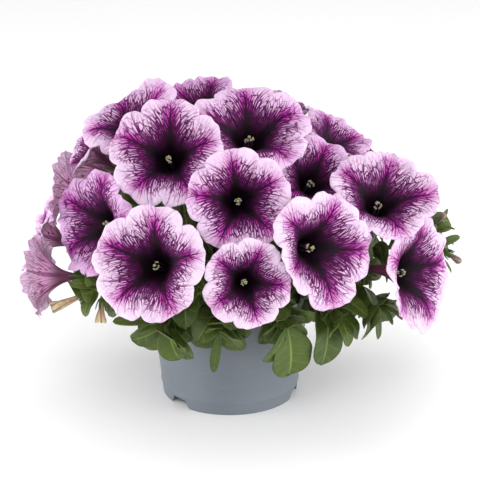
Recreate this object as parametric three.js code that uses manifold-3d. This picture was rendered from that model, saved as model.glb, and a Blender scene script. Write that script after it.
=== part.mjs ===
// A potted petunia in full bloom: a thin moulded nursery pot filled with compost, leafy stems that rise
// from plain holes in the compost, and a dome of trumpet-shaped blooms, each seated in its own green calyx.
// Millimetres, +Z up, -Y is the front. The pot stands on z = 0, a little left of the origin, so that the
// origin is under the middle of the whole plant.
import * as THREE from 'three';
import { mergeVertices } from 'three/addons/utils/BufferGeometryUtils.js';
import Module from 'manifold-3d';

const wasm = await Module();
wasm.setup();

// ---------------------------------------------------------------- driving dimensions
const SEAT = 0.3; // the clearance between pieces that rest in each other

const POT = {
  height: 95, baseRadius: 49.3, mouthRadius: 60, wall: 1.3, sides: 32,
  lipHeight: 7, lipOut: 2.2, floorZ: 8, floorThickness: 1.5,
};
const NOTCH = { count: 3, first: -47, width: 22, topWidth: 15, height: 6.5 }; // angles in degrees
const DRAIN = { count: 6, radius: 3.5, circle: 30, sides: 6 };
const SOIL = { edgeZ: 84, crownZ: 87, crown: 0.85 };

// The corolla's rings from its foot to its throat, as shares of its width: [points, height below the rim,
// radius]. The limb goes on from the throat with five lobes, each with a small dent at its middle.
const TRUMPET = { length: 0.6, foot: [5, 0.56, 0.022], throat: [10, 0.2, 0.14] };
const LIMB = {
  points: 20, middle: [10, 0.05, 0.3], lobes: 5, sinus: 0.13, dent: 0.03, curl: 0.03, thickness: 0.8,
};
const STAMEN = { sides: 4, root: 3, columnRadius: 0.7, headRadius: 2.4, head: 5, top: 0.17 };
const CALYX = { depth: 4, cup: 4.1, sepals: 5, tipHeight: 13, spread: 6.4, thickness: 0.8 };
// Buds and withered blooms: the radius at each share of the length, from the foot to the tip.
const BUD = { sides: 5, profile: [[0, 0], [0.15, 1.2], [0.55, 2], [0.8, 2.6], [1, 0]] };
const WITHERED = { sides: 5, profile: [[0, 0], [0.1, 1.2], [0.5, 2.3], [0.97, 3.4], [0.9, 0]] };

const STEM = { radius: 1.7, sides: 4, depth: 16, steps: 6, lean: 0.022, reach: 0.45 };
const SKIRT = { reach: 0.75, droop: 0.7, lean: 0.006 }; // the stems that hang over the mouth of the pot
const PEDICEL = { radius: 1.2, sides: 4, steps: 3, leave: 0.35, arrive: 0.4 };
// rows: where a blade's outline is given, as [share of its length, share of its width].
const LEAF = {
  thickness: 0.8, rows: [[0.35, 1], [0.75, 0.76]], plainRows: [[0.45, 1]], plainBelow: 27, widthShare: 0.6,
  arch: 0.12, fold: 0.16, angle: 58, sag: 0.22, clear: 0.4, free: 0.2, tilt: 0.6,
};
// The leaves that grow by rule: where on the stem, how they turn round it, and how their length varies.
const GROWTH = {
  from: 0.4, to: 0.9, goldenAngle: 137.5, swing: 60, seed: 7, tries: [0, 45, -45, 90, -90, 140, -140],
  shortest: 0.85, vary: 0.3, zero: [0.6, 0.64, -0.48],
};
const CENTRE = [-8, 3]; // where the axis of the pot stands, from the middle of the whole plant

// ---------------------------------------------------------------- colours
const material = (color, roughness) => new THREE.MeshStandardMaterial({ color, roughness, metalness: 0 });
const COLOURS = {
  pot: material(0x7d858f, 0.45),
  soil: material(0x2b1e16, 0.95),
  green: material(0x4b6a24, 0.6),
  petal: material(0xb45fb4, 0.6),
  bud: material(0x6b4a4a, 0.7),
  withered: material(0xc9ab72, 0.85),
};

// ---------------------------------------------------------------- the blooms
// at: the middle of the limb, from the foot of the pot's axis. face: azimuth (0 is the front, positive to
// the right) and elevation of the way it looks. across: the width of the limb. turn: how far the first
// lobe is turned from upright. lobes: each lobe's reach and how far it bends forward, in per cent of the
// width, anticlockwise from the first.
const EVEN = [[50, 0], [50, 2], [50, -2], [50, 1], [50, -1]];
const CUPPED = [[48, 5], [50, -2], [48, 4], [51, -3], [48, 6]];
const WAVED = [[50, -5], [47, 4], [51, -4], [49, 5], [50, 0]];
const BLOOMS = {
  bloom_01: { at: [-42, -78, 208], face: [-8, 36], across: 78, turn: 0, lobes: EVEN },
  bloom_02: { at: [7, -112, 186], face: [4, 24], across: 70, turn: 9, lobes: EVEN },
  bloom_03: {
    at: [15, -54, 220], face: [8, 56], across: 82, turn: 2,
    lobes: [[46, -4], [52, -3], [50, 0], [50, -2], [52, -4]],
  },
  bloom_04: {
    at: [-70, -8, 211], face: [-26, 58], across: 70, turn: -24,
    lobes: [[54, 8], [40, -10], [52, -2], [46, -6], [50, 2]],
  },
  bloom_05: { at: [-53, -128, 147.5], face: [-20, 26], across: 79, turn: 1, lobes: EVEN },
  bloom_06: { at: [-94, -80, 158], face: [-48, 16], across: 74, turn: -2, lobes: WAVED },
  bloom_07: { at: [12.5, -137, 137], face: [10, 16], across: 60, turn: -24, lobes: EVEN },
  bloom_08: {
    at: [62, -116, 153], face: [32, 14], across: 78, turn: -30,
    lobes: [[48, 0], [52, -2], [40, 4], [54, 1], [54, -3]],
  },
  bloom_09: { at: [60, -54, 183], face: [26, 44], across: 66, turn: -36, lobes: EVEN },
  bloom_10: {
    at: [104, -66, 175], face: [14, 54], across: 74, turn: -26,
    lobes: [[46, 4], [50, 2], [50, -3], [48, -3], [54, 6]],
  },
  bloom_11: {
    at: [132, -72, 118], face: [52, 8], across: 82, turn: -18,
    lobes: [[50, -3], [50, 2], [44, 5], [54, -2], [50, -5]],
  },
  bloom_12: { at: [-138, -6, 124], face: [-88, 20], across: 60, turn: 0, lobes: WAVED },
  bloom_13: { at: [-132, -66, 114], face: [-101, -4], across: 60, turn: 12, lobes: CUPPED },
  bloom_14: { at: [-118, -36, 168], face: [-100, 10], across: 56, turn: 30, lobes: CUPPED },
  bloom_15: { at: [-106, 14, 182], face: [-84, 34], across: 56, turn: 10, lobes: EVEN },
  bloom_16: { at: [-22, 14, 216], face: [-30, 60], across: 60, turn: 0, lobes: WAVED },
  bloom_17: { at: [-52, 62, 196], face: [-150, 48], across: 66, turn: 15, lobes: EVEN },
  bloom_18: { at: [30, 32, 208], face: [170, 60], across: 64, turn: 0, lobes: CUPPED },
  bloom_19: { at: [76, -2, 196], face: [70, 58], across: 58, turn: 25, lobes: WAVED },
  bloom_20: { at: [84, 60, 166], face: [140, 36], across: 68, turn: 0, lobes: EVEN },
  bloom_21: { at: [132, 14, 152], face: [88, 34], across: 62, turn: 12, lobes: WAVED },
  bloom_22: { at: [18, 92, 182], face: [176, 40], across: 72, turn: 8, lobes: EVEN },
  bloom_23: { at: [-104, 72, 154], face: [-126, 24], across: 70, turn: 0, lobes: EVEN },
  bloom_24: { at: [-52, 118, 146], face: [-156, 18], across: 72, turn: 18, lobes: CUPPED },
  bloom_25: { at: [16, 134, 134], face: [178, 14], across: 66, turn: 0, lobes: EVEN },
  bloom_26: { at: [84, 114, 128], face: [150, 12], across: 76, turn: 9, lobes: WAVED },
  bloom_27: { at: [138, 68, 120], face: [114, 12], across: 72, turn: 0, lobes: EVEN },
};

// Buds and withered blooms. at: the tip. length: from the foot to the tip. calyx: its size against a bloom's.
const BUDS = {
  bud_01: { at: [153, -17, 142], face: [60, 48], length: 12, calyx: 0.5 },
  bud_02: { at: [140, -24, 142], face: [-60, 60], length: 11, calyx: 0.5 },
  bud_03: { at: [165, -22, 107], face: [80, -34], length: 15, calyx: 0.6 },
};
const WITHERED_BLOOMS = {
  spent_01: { at: [-88, -86, 88], face: [-20, -80], length: 16, calyx: 0.6 },
  spent_02: { at: [-122, -86, 98], face: [-82, -22], length: 28, calyx: 0.7 },
};
const HEADS = { ...BLOOMS, ...BUDS, ...WITHERED_BLOOMS };

// ---------------------------------------------------------------- the stems
// root: where the stem leaves the compost. end: the bloom or bud that closes it, or a point where it hangs.
// sides: the blooms on its side shoots, with the share of the stem below each. grow: how many leaves grow
// by rule, and the lengths of the lowest and the highest. leaves: single leaves, as the share of the stem
// below it, its tip, its width and, where it grows on a side shoot, the bud of that shoot.
const STEMS = {
  stem_01: { root: [4, -22], end: 'bloom_07', sides: { bloom_02: 0.45 }, grow: [3, 40, 28] },
  stem_02: { root: [-10, -20], end: 'bloom_05', sides: { bloom_01: 0.4 }, grow: [3, 42, 28] },
  stem_03: { root: [14, -18], end: 'bloom_08', sides: { bloom_09: 0.45 }, grow: [3, 42, 28] },
  stem_04: { root: [24, -10], end: 'bloom_11', sides: { bloom_10: 0.5 }, grow: [3, 40, 28] },
  stem_05: { root: [-20, -12], end: 'bloom_06', sides: { bloom_04: 0.4 }, grow: [3, 40, 28] },
  stem_06: { root: [2, -6], end: 'bloom_03', sides: { bloom_16: 0.5 }, grow: [3, 36, 26] },
  stem_07: { root: [-25, -4], end: 'bloom_13', sides: { bloom_12: 0.5 }, grow: [3, 40, 28] },
  stem_08: { root: [-24, 4], end: 'bloom_14', sides: { bloom_15: 0.55 }, grow: [3, 36, 26] },
  stem_09: { root: [24, 2], end: 'bloom_21', sides: { bloom_19: 0.5 }, grow: [3, 38, 26] },
  stem_10: { root: [6, 8], end: 'bloom_18', sides: { bloom_22: 0.5 }, grow: [3, 38, 26] },
  stem_11: { root: [-22, 13], end: 'bloom_23', sides: { bloom_17: 0.5 }, grow: [3, 40, 28] },
  stem_12: { root: [-9, 20], end: 'bloom_24', sides: {}, grow: [3, 42, 28] },
  stem_13: { root: [6, 24], end: 'bloom_25', sides: {}, grow: [3, 42, 28] },
  stem_14: { root: [16, 18], end: 'bloom_26', sides: { bloom_20: 0.5 }, grow: [3, 42, 28] },
  stem_15: { root: [24, 12], end: 'bloom_27', sides: {}, grow: [3, 40, 28] },
};

const SKIRT_STEMS = {
  stem_16: {
    root: [-20, -34], end: [-44, -84, 82], grow: [1, 34, 26],
    leaves: [
      [0.62, [-42, -76, 70], 27], [0.75, [-62, -84, 80], 14], [0.8, [-25, -76, 70], 20],
      [0.9, [-80, -82, 87], 9], [0.97, [-34, -90, 62], 22],
    ],
  },
  stem_17: {
    root: [-3, -40], end: [-6, -88, 84], grow: [1, 34, 26],
    leaves: [[0.66, [-22, -90, 75], 22], [0.8, [8, -88, 76], 20], [0.99, [-11, -89, 52], 7]],
  },
  stem_18: {
    root: [19, -36], end: [40, -84, 84], grow: [1, 34, 26],
    leaves: [
      [0.55, [32, -99, 94], 22], [0.8, [28, -84, 86], 20], [0.88, [27, -80, 70], 16],
      [0.97, [41, -78, 45], 32],
    ],
  },
  stem_19: {
    root: [32, -26], end: [74, -70, 88], grow: [1, 34, 26],
    leaves: [
      [0.6, [72, -80, 80], 22], [0.75, [96, -72, 86], 15], [0.82, [64, -73, 50], 28],
      [0.92, [83, -72, 64], 13], [0.99, [90, -58, 65], 13],
    ],
  },
  stem_20: {
    root: [40, -20], end: [104, -54, 86], grow: [2, 30, 22],
    leaves: [
      [0.75, [99, -74, 96], 16], [0.9, [104, -60, 64], 9], [0.94, [114, -62, 76], 6],
      [0.97, [121, -60, 79], 5], [0.99, [115, -60, 90], 7],
    ],
  },
  stem_21: { root: [-38, 14], end: [-86, 34, 84], grow: [4, 42, 30] },
  stem_22: { root: [-16, 38], end: [-34, 84, 84], grow: [4, 44, 32] },
  stem_23: { root: [24, 32], end: [48, 78, 84], grow: [4, 44, 32] },
  stem_24: { root: [40, 8], end: [88, 22, 86], grow: [4, 42, 30] },
};

const SHOOT_STEMS = {
  stem_25: {
    root: [20, -4], end: 'bud_01', sides: { bud_02: 0.88, bud_03: 0.7 },
    leaves: [
      [0.93, [156, -3, 141], 5], [0.9, [160, -18, 131], 6], [0.82, [133, -10, 134], 5],
      [0.7, [158, -30, 124], 8, 'bud_03'], [0.88, [164, -14, 124], 6, 'bud_03'],
      [0.55, [157, -31, 103], 7, 'bud_03'],
    ],
  },
  stem_26: {
    root: [-25, -22], end: 'spent_02', sides: { spent_01: 0.8 },
    leaves: [
      [0.86, [-83, -94, 118], 11], [0.93, [-108, -92, 118], 9], [0.9, [-97, -94, 125], 9],
      [0.96, [-98, -90, 94], 10], [0.76, [-84, -94, 102], 9],
    ],
  },
};

// ---------------------------------------------------------------- helpers
const { cos, sin, PI, floor, max } = Math;
const rad = THREE.MathUtils.degToRad;
const vec = (a) => new THREE.Vector3(...a);
const UP = vec([0, 0, 1]);

// A closed geometry as a solid, and a solid as a geometry.
function solidOf(geometry) {
  const bare = new THREE.BufferGeometry().setAttribute('position', geometry.getAttribute('position'));
  if (geometry.index) bare.setIndex(geometry.index);
  const merged = mergeVertices(bare, 1e-3);
  return new wasm.Manifold(new wasm.Mesh({
    numProp: 3,
    vertProperties: merged.attributes.position.array,
    triVerts: new Uint32Array(merged.index.array),
  }));
}

function geometryOf(solid) {
  const mesh = solid.getMesh();
  const geometry = new THREE.BufferGeometry();
  geometry.setAttribute('position', new THREE.BufferAttribute(mesh.vertProperties.slice(), 3));
  geometry.setIndex(new THREE.BufferAttribute(mesh.triVerts.slice(), 1));
  geometry.computeVertexNormals();
  return geometry;
}

function geometryFrom(points, faces) {
  const geometry = new THREE.BufferGeometry().setFromPoints(points);
  geometry.setIndex(faces);
  return geometry;
}

// Draws between 0 and 1 that come out the same each time.
function drawsFrom(seed) {
  let state = seed;
  return () => {
    state = (state + 0x6d2b79f5) | 0;
    let t = Math.imul(state ^ (state >>> 15), 1 | state);
    t = (t + Math.imul(t ^ (t >>> 7), 61 | t)) ^ t;
    return ((t ^ (t >>> 14)) >>> 0) / 4294967296;
  };
}

// The triangles between consecutive rings, where a ring holds a whole multiple of its neighbour's points.
// Points run anticlockwise, seen from the last ring. A ring of one point is a tip.
function stitch(rings) {
  const faces = [];
  let start = 0;
  for (let k = 0; k + 1 < rings.length; k++) {
    const [m, n] = [rings[k].length, rings[k + 1].length];
    const steps = max(m, n);
    for (let i = 0; i < steps; i++) {
      const [a0, a1] = [i, i + 1].map((j) => start + (floor((j * m) / steps) % m));
      const [b0, b1] = [i, i + 1].map((j) => start + m + (floor((j * n) / steps) % n));
      if (a0 !== a1) faces.push(a0, a1, b1);
      if (b0 !== b1) faces.push(a0, b1, b0);
    }
    start += m;
  }
  return faces;
}

// A sheet of triangles made into a solid: one face on each side of it, alike, and a strip round its edge.
function thicken(points, faces, thickness) {
  const sheet = geometryFrom(points, faces);
  sheet.computeVertexNormals();
  const normals = sheet.getAttribute('normal');
  const side = (sign) => points.map((p, i) => p.clone()
    .addScaledVector(new THREE.Vector3().fromBufferAttribute(normals, i), (sign * thickness) / 2));
  const count = points.length;
  const both = [...faces];
  const edges = new Set();
  for (let i = 0; i < faces.length; i += 3) {
    const [a, b, c] = faces.slice(i, i + 3);
    both.push(a + count, c + count, b + count);
    [[a, b], [b, c], [c, a]].forEach(([from, to]) => edges.add(from * count + to));
  }
  for (const edge of edges) {
    const [from, to] = [floor(edge / count), edge % count];
    if (!edges.has(to * count + from)) both.push(to, from, from + count, to, from + count, to + count);
  }
  return solidOf(geometryFrom([...side(1), ...side(-1)], both));
}

// A point on the straight pieces that a shoot is made of, at a share of its way.
function pointOn(curve, share, steps) {
  const before = floor(share * steps) / steps;
  const [from, to] = [before, before + 1 / steps].map((at) => curve.getPointAt(Math.min(at, 1)));
  return from.lerp(to, (share - before) * steps);
}

// A shoot of an even thickness along a curve.
function shoot(curve, { radius, sides, steps }) {
  const section = new THREE.Shape(Array.from({ length: sides }, (_, i) =>
    new THREE.Vector2(radius * cos((2 * PI * i) / sides), radius * sin((2 * PI * i) / sides))));
  return solidOf(new THREE.ExtrudeGeometry(section, { steps, bevelEnabled: false, extrudePath: curve }));
}

// ---------------------------------------------------------------- pot and compost
const outerRadius = (z) => POT.baseRadius + ((POT.mouthRadius - POT.baseRadius) * z) / POT.height;

function revolve(profile) {
  const points = [...profile, profile[0]].map(([r, z]) => new THREE.Vector2(r, z));
  const lathe = new THREE.LatheGeometry(points, POT.sides);
  return solidOf(lathe.rotateX(PI / 2));
}

// A drainage notch: a slanted wedge cut through the foot ring.
function notchCut() {
  const reach = POT.baseRadius + 3;
  const inner = POT.baseRadius - 8;
  const corner = (r, a, z) => new THREE.Vector3(r * sin(a), -r * cos(a), z);
  const ring = (z, width) => [[inner, -0.5], [reach, -0.5], [reach, 0], [reach, 0.5], [inner, 0.5]]
    .map(([r, share]) => corner(r, share * rad(width), z));
  const rings = [ring(-1, NOTCH.width), ring(NOTCH.height, NOTCH.topWidth)];
  const ends = [[corner(POT.baseRadius - 3, 0, -1)], ...rings, [corner(POT.baseRadius - 3, 0, NOTCH.height)]];
  return solidOf(geometryFrom(ends.flat(), stitch(ends)));
}

function makePot() {
  const { height, wall, lipHeight, lipOut, floorZ, floorThickness } = POT;
  const shell = revolve([
    [0, floorZ], [outerRadius(floorZ) - wall, floorZ], [outerRadius(0) - wall, 0], [outerRadius(0), 0],
    [outerRadius(height - lipHeight), height - lipHeight],
    [outerRadius(height - lipHeight) + lipOut, height - lipHeight + 1],
    [outerRadius(height) + lipOut, height], [outerRadius(height) - wall, height],
    [outerRadius(floorZ + floorThickness) - wall, floorZ + floorThickness], [0, floorZ + floorThickness],
  ]);
  const notch = notchCut();
  const drill = new THREE.CylinderGeometry(DRAIN.radius, DRAIN.radius, 6, DRAIN.sides).rotateX(PI / 2);
  let pot = shell;
  for (let i = 0; i < NOTCH.count; i++) {
    pot = pot.subtract(notch.rotate([0, 0, NOTCH.first + (360 / NOTCH.count) * i]));
  }
  for (let i = 0; i < DRAIN.count; i++) {
    const angle = (2 * PI * i) / DRAIN.count;
    const hole = drill.clone().translate(DRAIN.circle * cos(angle), DRAIN.circle * sin(angle), floorZ + 1);
    pot = pot.subtract(solidOf(hole));
  }
  return pot;
}

function makeSoil(holes) {
  const bottom = POT.floorZ + POT.floorThickness + SEAT;
  const edge = (z) => outerRadius(z) - POT.wall - SEAT;
  const plug = revolve([
    [0, bottom], [edge(bottom), bottom], [edge(SOIL.edgeZ), SOIL.edgeZ],
    [edge(SOIL.edgeZ) * SOIL.crown, SOIL.crownZ], [0, SOIL.crownZ],
  ]);
  return holes.reduce((soil, hole) => soil.subtract(hole), plug);
}

// ---------------------------------------------------------------- blooms
// A bloom's own axes: right, up and the way it faces, as seen by someone it faces.
function axesOf({ face: [azimuth, elevation] }) {
  const [a, e] = [rad(azimuth), rad(elevation)];
  return {
    right: new THREE.Vector3(cos(a), sin(a), 0),
    up: new THREE.Vector3(-sin(a) * sin(e), cos(a) * sin(e), cos(e)),
    out: new THREE.Vector3(sin(a) * cos(e), -cos(a) * cos(e), sin(e)),
  };
}

// A point of a head from its radius, its angle (anticlockwise from upright) and its height over the rim.
function inHead(head, radius, angle, height) {
  const { right, up, out } = axesOf(head);
  return vec(head.at).addScaledVector(right, -radius * sin(angle))
    .addScaledVector(up, radius * cos(angle)).addScaledVector(out, height);
}

const lengthOf = (head) => head.length ?? TRUMPET.length * head.across;
const ringOf = (head, sides, radius, height) => Array.from({ length: sides }, (_, i) =>
  inHead(head, radius, rad(head.turn) + (2 * PI * i) / sides, height));
const corollaRing = (bloom, [points, below, share]) =>
  ringOf(bloom, points, share * bloom.across, -below * bloom.across);

// A point of the limb, at a share of the way from the throat to the rim.
function limbPoint(bloom, angle, share) {
  const place = (angle * LIMB.lobes) / (2 * PI);
  const [before, after] = [0, 1].map((step) => bloom.lobes[(floor(place) + step) % LIMB.lobes]);
  const [reach, forward] = [0, 1].map((k) => before[k] + (after[k] - before[k]) * (place - floor(place)));
  const crest = (1 + cos(2 * PI * place)) / 2;
  const [, middleBelow, middleRadius] = LIMB.middle;
  const edge = (reach / 100) * (1 - LIMB.sinus * (1 - crest) ** 4 - LIMB.dent * crest ** 4);
  const height = -middleBelow * (1 - share) + share * (forward / 100 - LIMB.curl * crest);
  const radius = middleRadius + (edge - middleRadius) * share;
  return inHead(bloom, radius * bloom.across, rad(bloom.turn) + angle, height * bloom.across);
}

const limbRing = (bloom, points, share) => Array.from({ length: points }, (_, i) =>
  limbPoint(bloom, (2 * PI * i) / points, share));

function makeCorolla(bloom) {
  const rings = [
    [inHead(bloom, 0, 0, -lengthOf(bloom))], corollaRing(bloom, TRUMPET.foot),
    corollaRing(bloom, TRUMPET.throat), limbRing(bloom, LIMB.middle[0], 0), limbRing(bloom, LIMB.points, 1),
  ];
  return thicken(rings.flat(), stitch(rings), LIMB.thickness).add(makeStamens(bloom));
}

// A round body on a head's axis, from its profile of [height, radius].
function turned(head, sides, profile) {
  const { right, up, out } = axesOf(head);
  const points = profile.map(([height, radius]) => new THREE.Vector2(radius, height));
  const stand = new THREE.Matrix4().makeBasis(right, up, out).setPosition(...head.at);
  return solidOf(new THREE.LatheGeometry(points, sides).rotateX(PI / 2).applyMatrix4(stand));
}

// The column of filaments with its head of anthers, rooted in the foot of the tube.
function makeStamens(bloom) {
  const [foot, top] = [-lengthOf(bloom), -STAMEN.top * bloom.across];
  return turned(bloom, STAMEN.sides, [
    [foot, 0], [foot + STAMEN.root, STAMEN.columnRadius], [top - STAMEN.head, STAMEN.columnRadius],
    [top - STAMEN.head / 2, STAMEN.headRadius], [top, 0],
  ]);
}

// A bud or a withered bloom.
const makeBud = (head, { sides, profile }) => turned(head, sides, profile.map(([share, radius]) =>
  [(share - 1) * head.length, radius]));

// The calyx: a small cup with five pointed sepals that lie along the tube.
const calyxFloor = (head) => -lengthOf(head) - LIMB.thickness / 2 - SEAT - CALYX.thickness / 2;

function makeCalyx(head) {
  const { sepals, thickness } = CALYX;
  const [depth, cup, tipHeight, spread] = ['depth', 'cup', 'tipHeight', 'spread']
    .map((key) => CALYX[key] * (head.calyx ?? 1));
  const ring = (radius, offset, height) => Array.from({ length: sepals }, (_, i) =>
    inHead(head, radius, rad(head.turn ?? 0) + ((i + offset) * 2 * PI) / sepals, calyxFloor(head) + height));
  const points = [calyxSeat(head), ...ring(cup, 0.5, depth), ...ring(spread, 0, tipHeight)];
  const faces = [];
  for (let i = 0; i < sepals; i++) {
    const [before, after] = [1 + ((i + sepals - 1) % sepals), 1 + i];
    faces.push(0, before, after, before, 1 + sepals + i, after);
  }
  return thicken(points, faces, thickness);
}

// ---------------------------------------------------------------- stems and leaves
const calyxSeat = (head) => inHead(head, 0, 0, calyxFloor(head));

function stemCurve({ root, end }) {
  const start = vec([...root, SOIL.crownZ - STEM.depth]);
  const head = HEADS[end];
  const finish = head ? calyxSeat(head) : vec(end);
  const { reach, lean } = head ? STEM : SKIRT;
  const rise = vec([root[0] * lean, root[1] * lean, 1]).normalize();
  const arrive = head ? axesOf(head).out : vec([finish.x, finish.y, 0]).normalize()
    .addScaledVector(UP, -SKIRT.droop).normalize();
  const span = start.distanceTo(finish) * reach;
  return new THREE.CubicBezierCurve3(
    start, start.clone().addScaledVector(rise, span), finish.clone().addScaledVector(arrive, -span), finish,
  );
}

function sideCurve(curve, share, head) {
  const start = pointOn(curve, share, STEM.steps);
  const finish = calyxSeat(head);
  const span = start.distanceTo(finish);
  return new THREE.CubicBezierCurve3(
    start, start.clone().addScaledVector(curve.getTangentAt(share), span * PEDICEL.leave),
    finish.clone().addScaledVector(axesOf(head).out, -span * PEDICEL.arrive), finish,
  );
}

// A stem with its side shoots and calyces, and the ways they run.
function makeStem(stem) {
  const curve = stemCurve(stem);
  const runs = {};
  let solid = shoot(curve, STEM);
  if (HEADS[stem.end]) solid = solid.add(makeCalyx(HEADS[stem.end]));
  for (const [name, share] of Object.entries(stem.sides ?? {})) {
    runs[name] = sideCurve(curve, share, HEADS[name]);
    solid = solid.add(shoot(runs[name], PEDICEL)).add(makeCalyx(HEADS[name]));
  }
  return { curve, runs, solid };
}

// The hole that a stem leaves in the compost: its own shape, a little wider and deeper.
function stemHole({ curve }) {
  const wide = shoot(curve, { ...STEM, radius: STEM.radius + SEAT / cos(PI / STEM.sides) });
  return wide.translate(curve.getTangentAt(0).multiplyScalar(-SEAT).toArray());
}

// A leaf: an ovate blade folded along its midrib and arched from its base to its tip.
function makeBlade({ from, to, width, up }, thickness) {
  const along = to.clone().sub(from);
  const length = along.length();
  const side = along.clone().cross(up).normalize();
  const face = side.clone().cross(along).normalize();
  const point = (t, across) => from.clone().addScaledVector(along, t).addScaledVector(side, across)
    .addScaledVector(face, 4 * t * (1 - t) * LEAF.arch * length + Math.abs(across) * LEAF.fold);
  const rows = width < LEAF.plainBelow ? LEAF.plainRows : LEAF.rows;
  const row = ([t, share]) => [-1, 0, 1].map((k) => point(t, (k * share * width) / 2));
  const points = [from, ...rows.flatMap(row), to];
  const faces = [0, 2, 1, 0, 3, 2];
  for (let left = 1; left < points.length - 4; left += 3) {
    for (const k of [left, left + 1]) faces.push(k, k + 1, k + 4, k, k + 4, k + 3);
  }
  const last = points.length - 1;
  faces.push(last - 3, last - 2, last, last - 2, last - 1, last);
  return thicken(points, faces, thickness);
}

// A leaf that grows out of a stem at an angle round it, with its upper face towards the stem's tip.
function growLeaf(curve, share, turn, length) {
  const from = pointOn(curve, share, STEM.steps);
  const tangent = curve.getTangentAt(share);
  const sideways = tangent.clone().cross(vec(GROWTH.zero)).normalize().applyAxisAngle(tangent, rad(turn));
  const to = from.clone().addScaledVector(tangent, length * cos(rad(LEAF.angle)))
    .addScaledVector(sideways, length * sin(rad(LEAF.angle))).addScaledVector(UP, -LEAF.sag * length);
  return { from, to, width: length * LEAF.widthShare, up: tangent };
}

// A single leaf, as listed with its stem, with its upper face up and outwards.
function placedLeaf({ curve, runs }, [share, tip, width, run]) {
  const from = run ? pointOn(runs[run], share, PEDICEL.steps) : pointOn(curve, share, STEM.steps);
  const outward = vec([from.x, from.y, 0]).normalize();
  return { from, to: vec(tip), width, up: outward.addScaledVector(UP, LEAF.tilt) };
}

// The leaves that grow on a stem by rule: for each, the ways it may turn, the first of them preferred.
function grownLeaves({ curve, row: { grow: [count, longest, shortest] = [0, 0, 0] } }, draw) {
  return Array.from({ length: count }, (_, i) => {
    const climb = i / max(count - 1, 1);
    const share = GROWTH.from + (GROWTH.to - GROWTH.from) * climb;
    const turn = i * GROWTH.goldenAngle + GROWTH.swing * draw();
    const length = (longest + (shortest - longest) * climb) * (GROWTH.shortest + GROWTH.vary * draw());
    return GROWTH.tries.map((extra) => growLeaf(curve, share, turn + extra, length));
  });
}

// The part of a leaf that has left its own stem.
const freeOf = (leaf) => ({ ...leaf, from: leaf.from.clone().lerp(leaf.to, LEAF.free) });

const boxesMeet = (a, b) => [0, 1, 2].every((k) => a.min[k] < b.max[k] && b.min[k] < a.max[k]);
function isClear(solid, others) {
  const box = solid.boundingBox();
  return others.every((other) => !boxesMeet(box, other.boundingBox()) || solid.intersect(other).isEmpty());
}

// ---------------------------------------------------------------- the assembly
const part = new THREE.Group();
function place(name, solid, colour) {
  const mesh = new THREE.Mesh(geometryOf(solid), colour);
  mesh.name = name;
  part.add(mesh);
}

const rows = Object.entries({ ...STEMS, ...SKIRT_STEMS, ...SHOOT_STEMS });
const stems = rows.map(([name, row]) => ({ name, row, ...makeStem(row) }));
const fixed = [makePot(), makeSoil(stems.map(stemHole))];
place('pot', fixed[0], COLOURS.pot);
place('soil', fixed[1], COLOURS.soil);
for (const [heads, colour, make] of [
  [BLOOMS, COLOURS.petal, makeCorolla],
  [BUDS, COLOURS.bud, (head) => makeBud(head, BUD)],
  [WITHERED_BLOOMS, COLOURS.withered, (head) => makeBud(head, WITHERED)],
]) {
  for (const [name, head] of Object.entries(heads)) {
    fixed.push(make(head));
    place(name, fixed.at(-1), colour);
  }
}

// The listed leaves come first. A leaf that would touch another piece is turned, or left out.
const draw = drawsFrom(GROWTH.seed);
const padded = LEAF.thickness + 2 * LEAF.clear;
const wanted = [
  ...stems.flatMap((stem) => (stem.row.leaves ?? []).map((leaf) => [stem, [placedLeaf(stem, leaf)]])),
  ...stems.flatMap((stem) => grownLeaves(stem, draw).map((choices) => [stem, choices])),
];
for (const [stem, choices] of wanted) {
  const others = [...fixed, ...stems.filter((other) => other !== stem).map((other) => other.solid)];
  const leaf = choices.find((choice) => isClear(makeBlade(choice, padded), others)
    && (choices.length === 1 || isClear(makeBlade(freeOf(choice), padded), [stem.solid])));
  if (leaf) stem.solid = stem.solid.add(makeBlade(leaf, LEAF.thickness));
}
for (const { name, solid } of stems) place(name, solid, COLOURS.green);
part.position.set(...CENTRE, 0);

export default part;
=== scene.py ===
# %% [markdown]
# # A petunia in full bloom, in its nursery pot
# The real plant is a dome of soft trumpets on leafy stems, in a thin plastic pot full of compost. A plain
# solid model of it already stands in the frame: every stem, bloom and bud is there at its real size, but
# coarse. One could sculpt the fine plant over it by hand. Here each piece is grown again from the same few
# measures, only finer, so that it lies exactly where the plain one does.

# %% The frame and the tools
import math

import bmesh
import bpy
import numpy as np
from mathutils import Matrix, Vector
from mathutils.bvhtree import BVHTree


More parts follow.
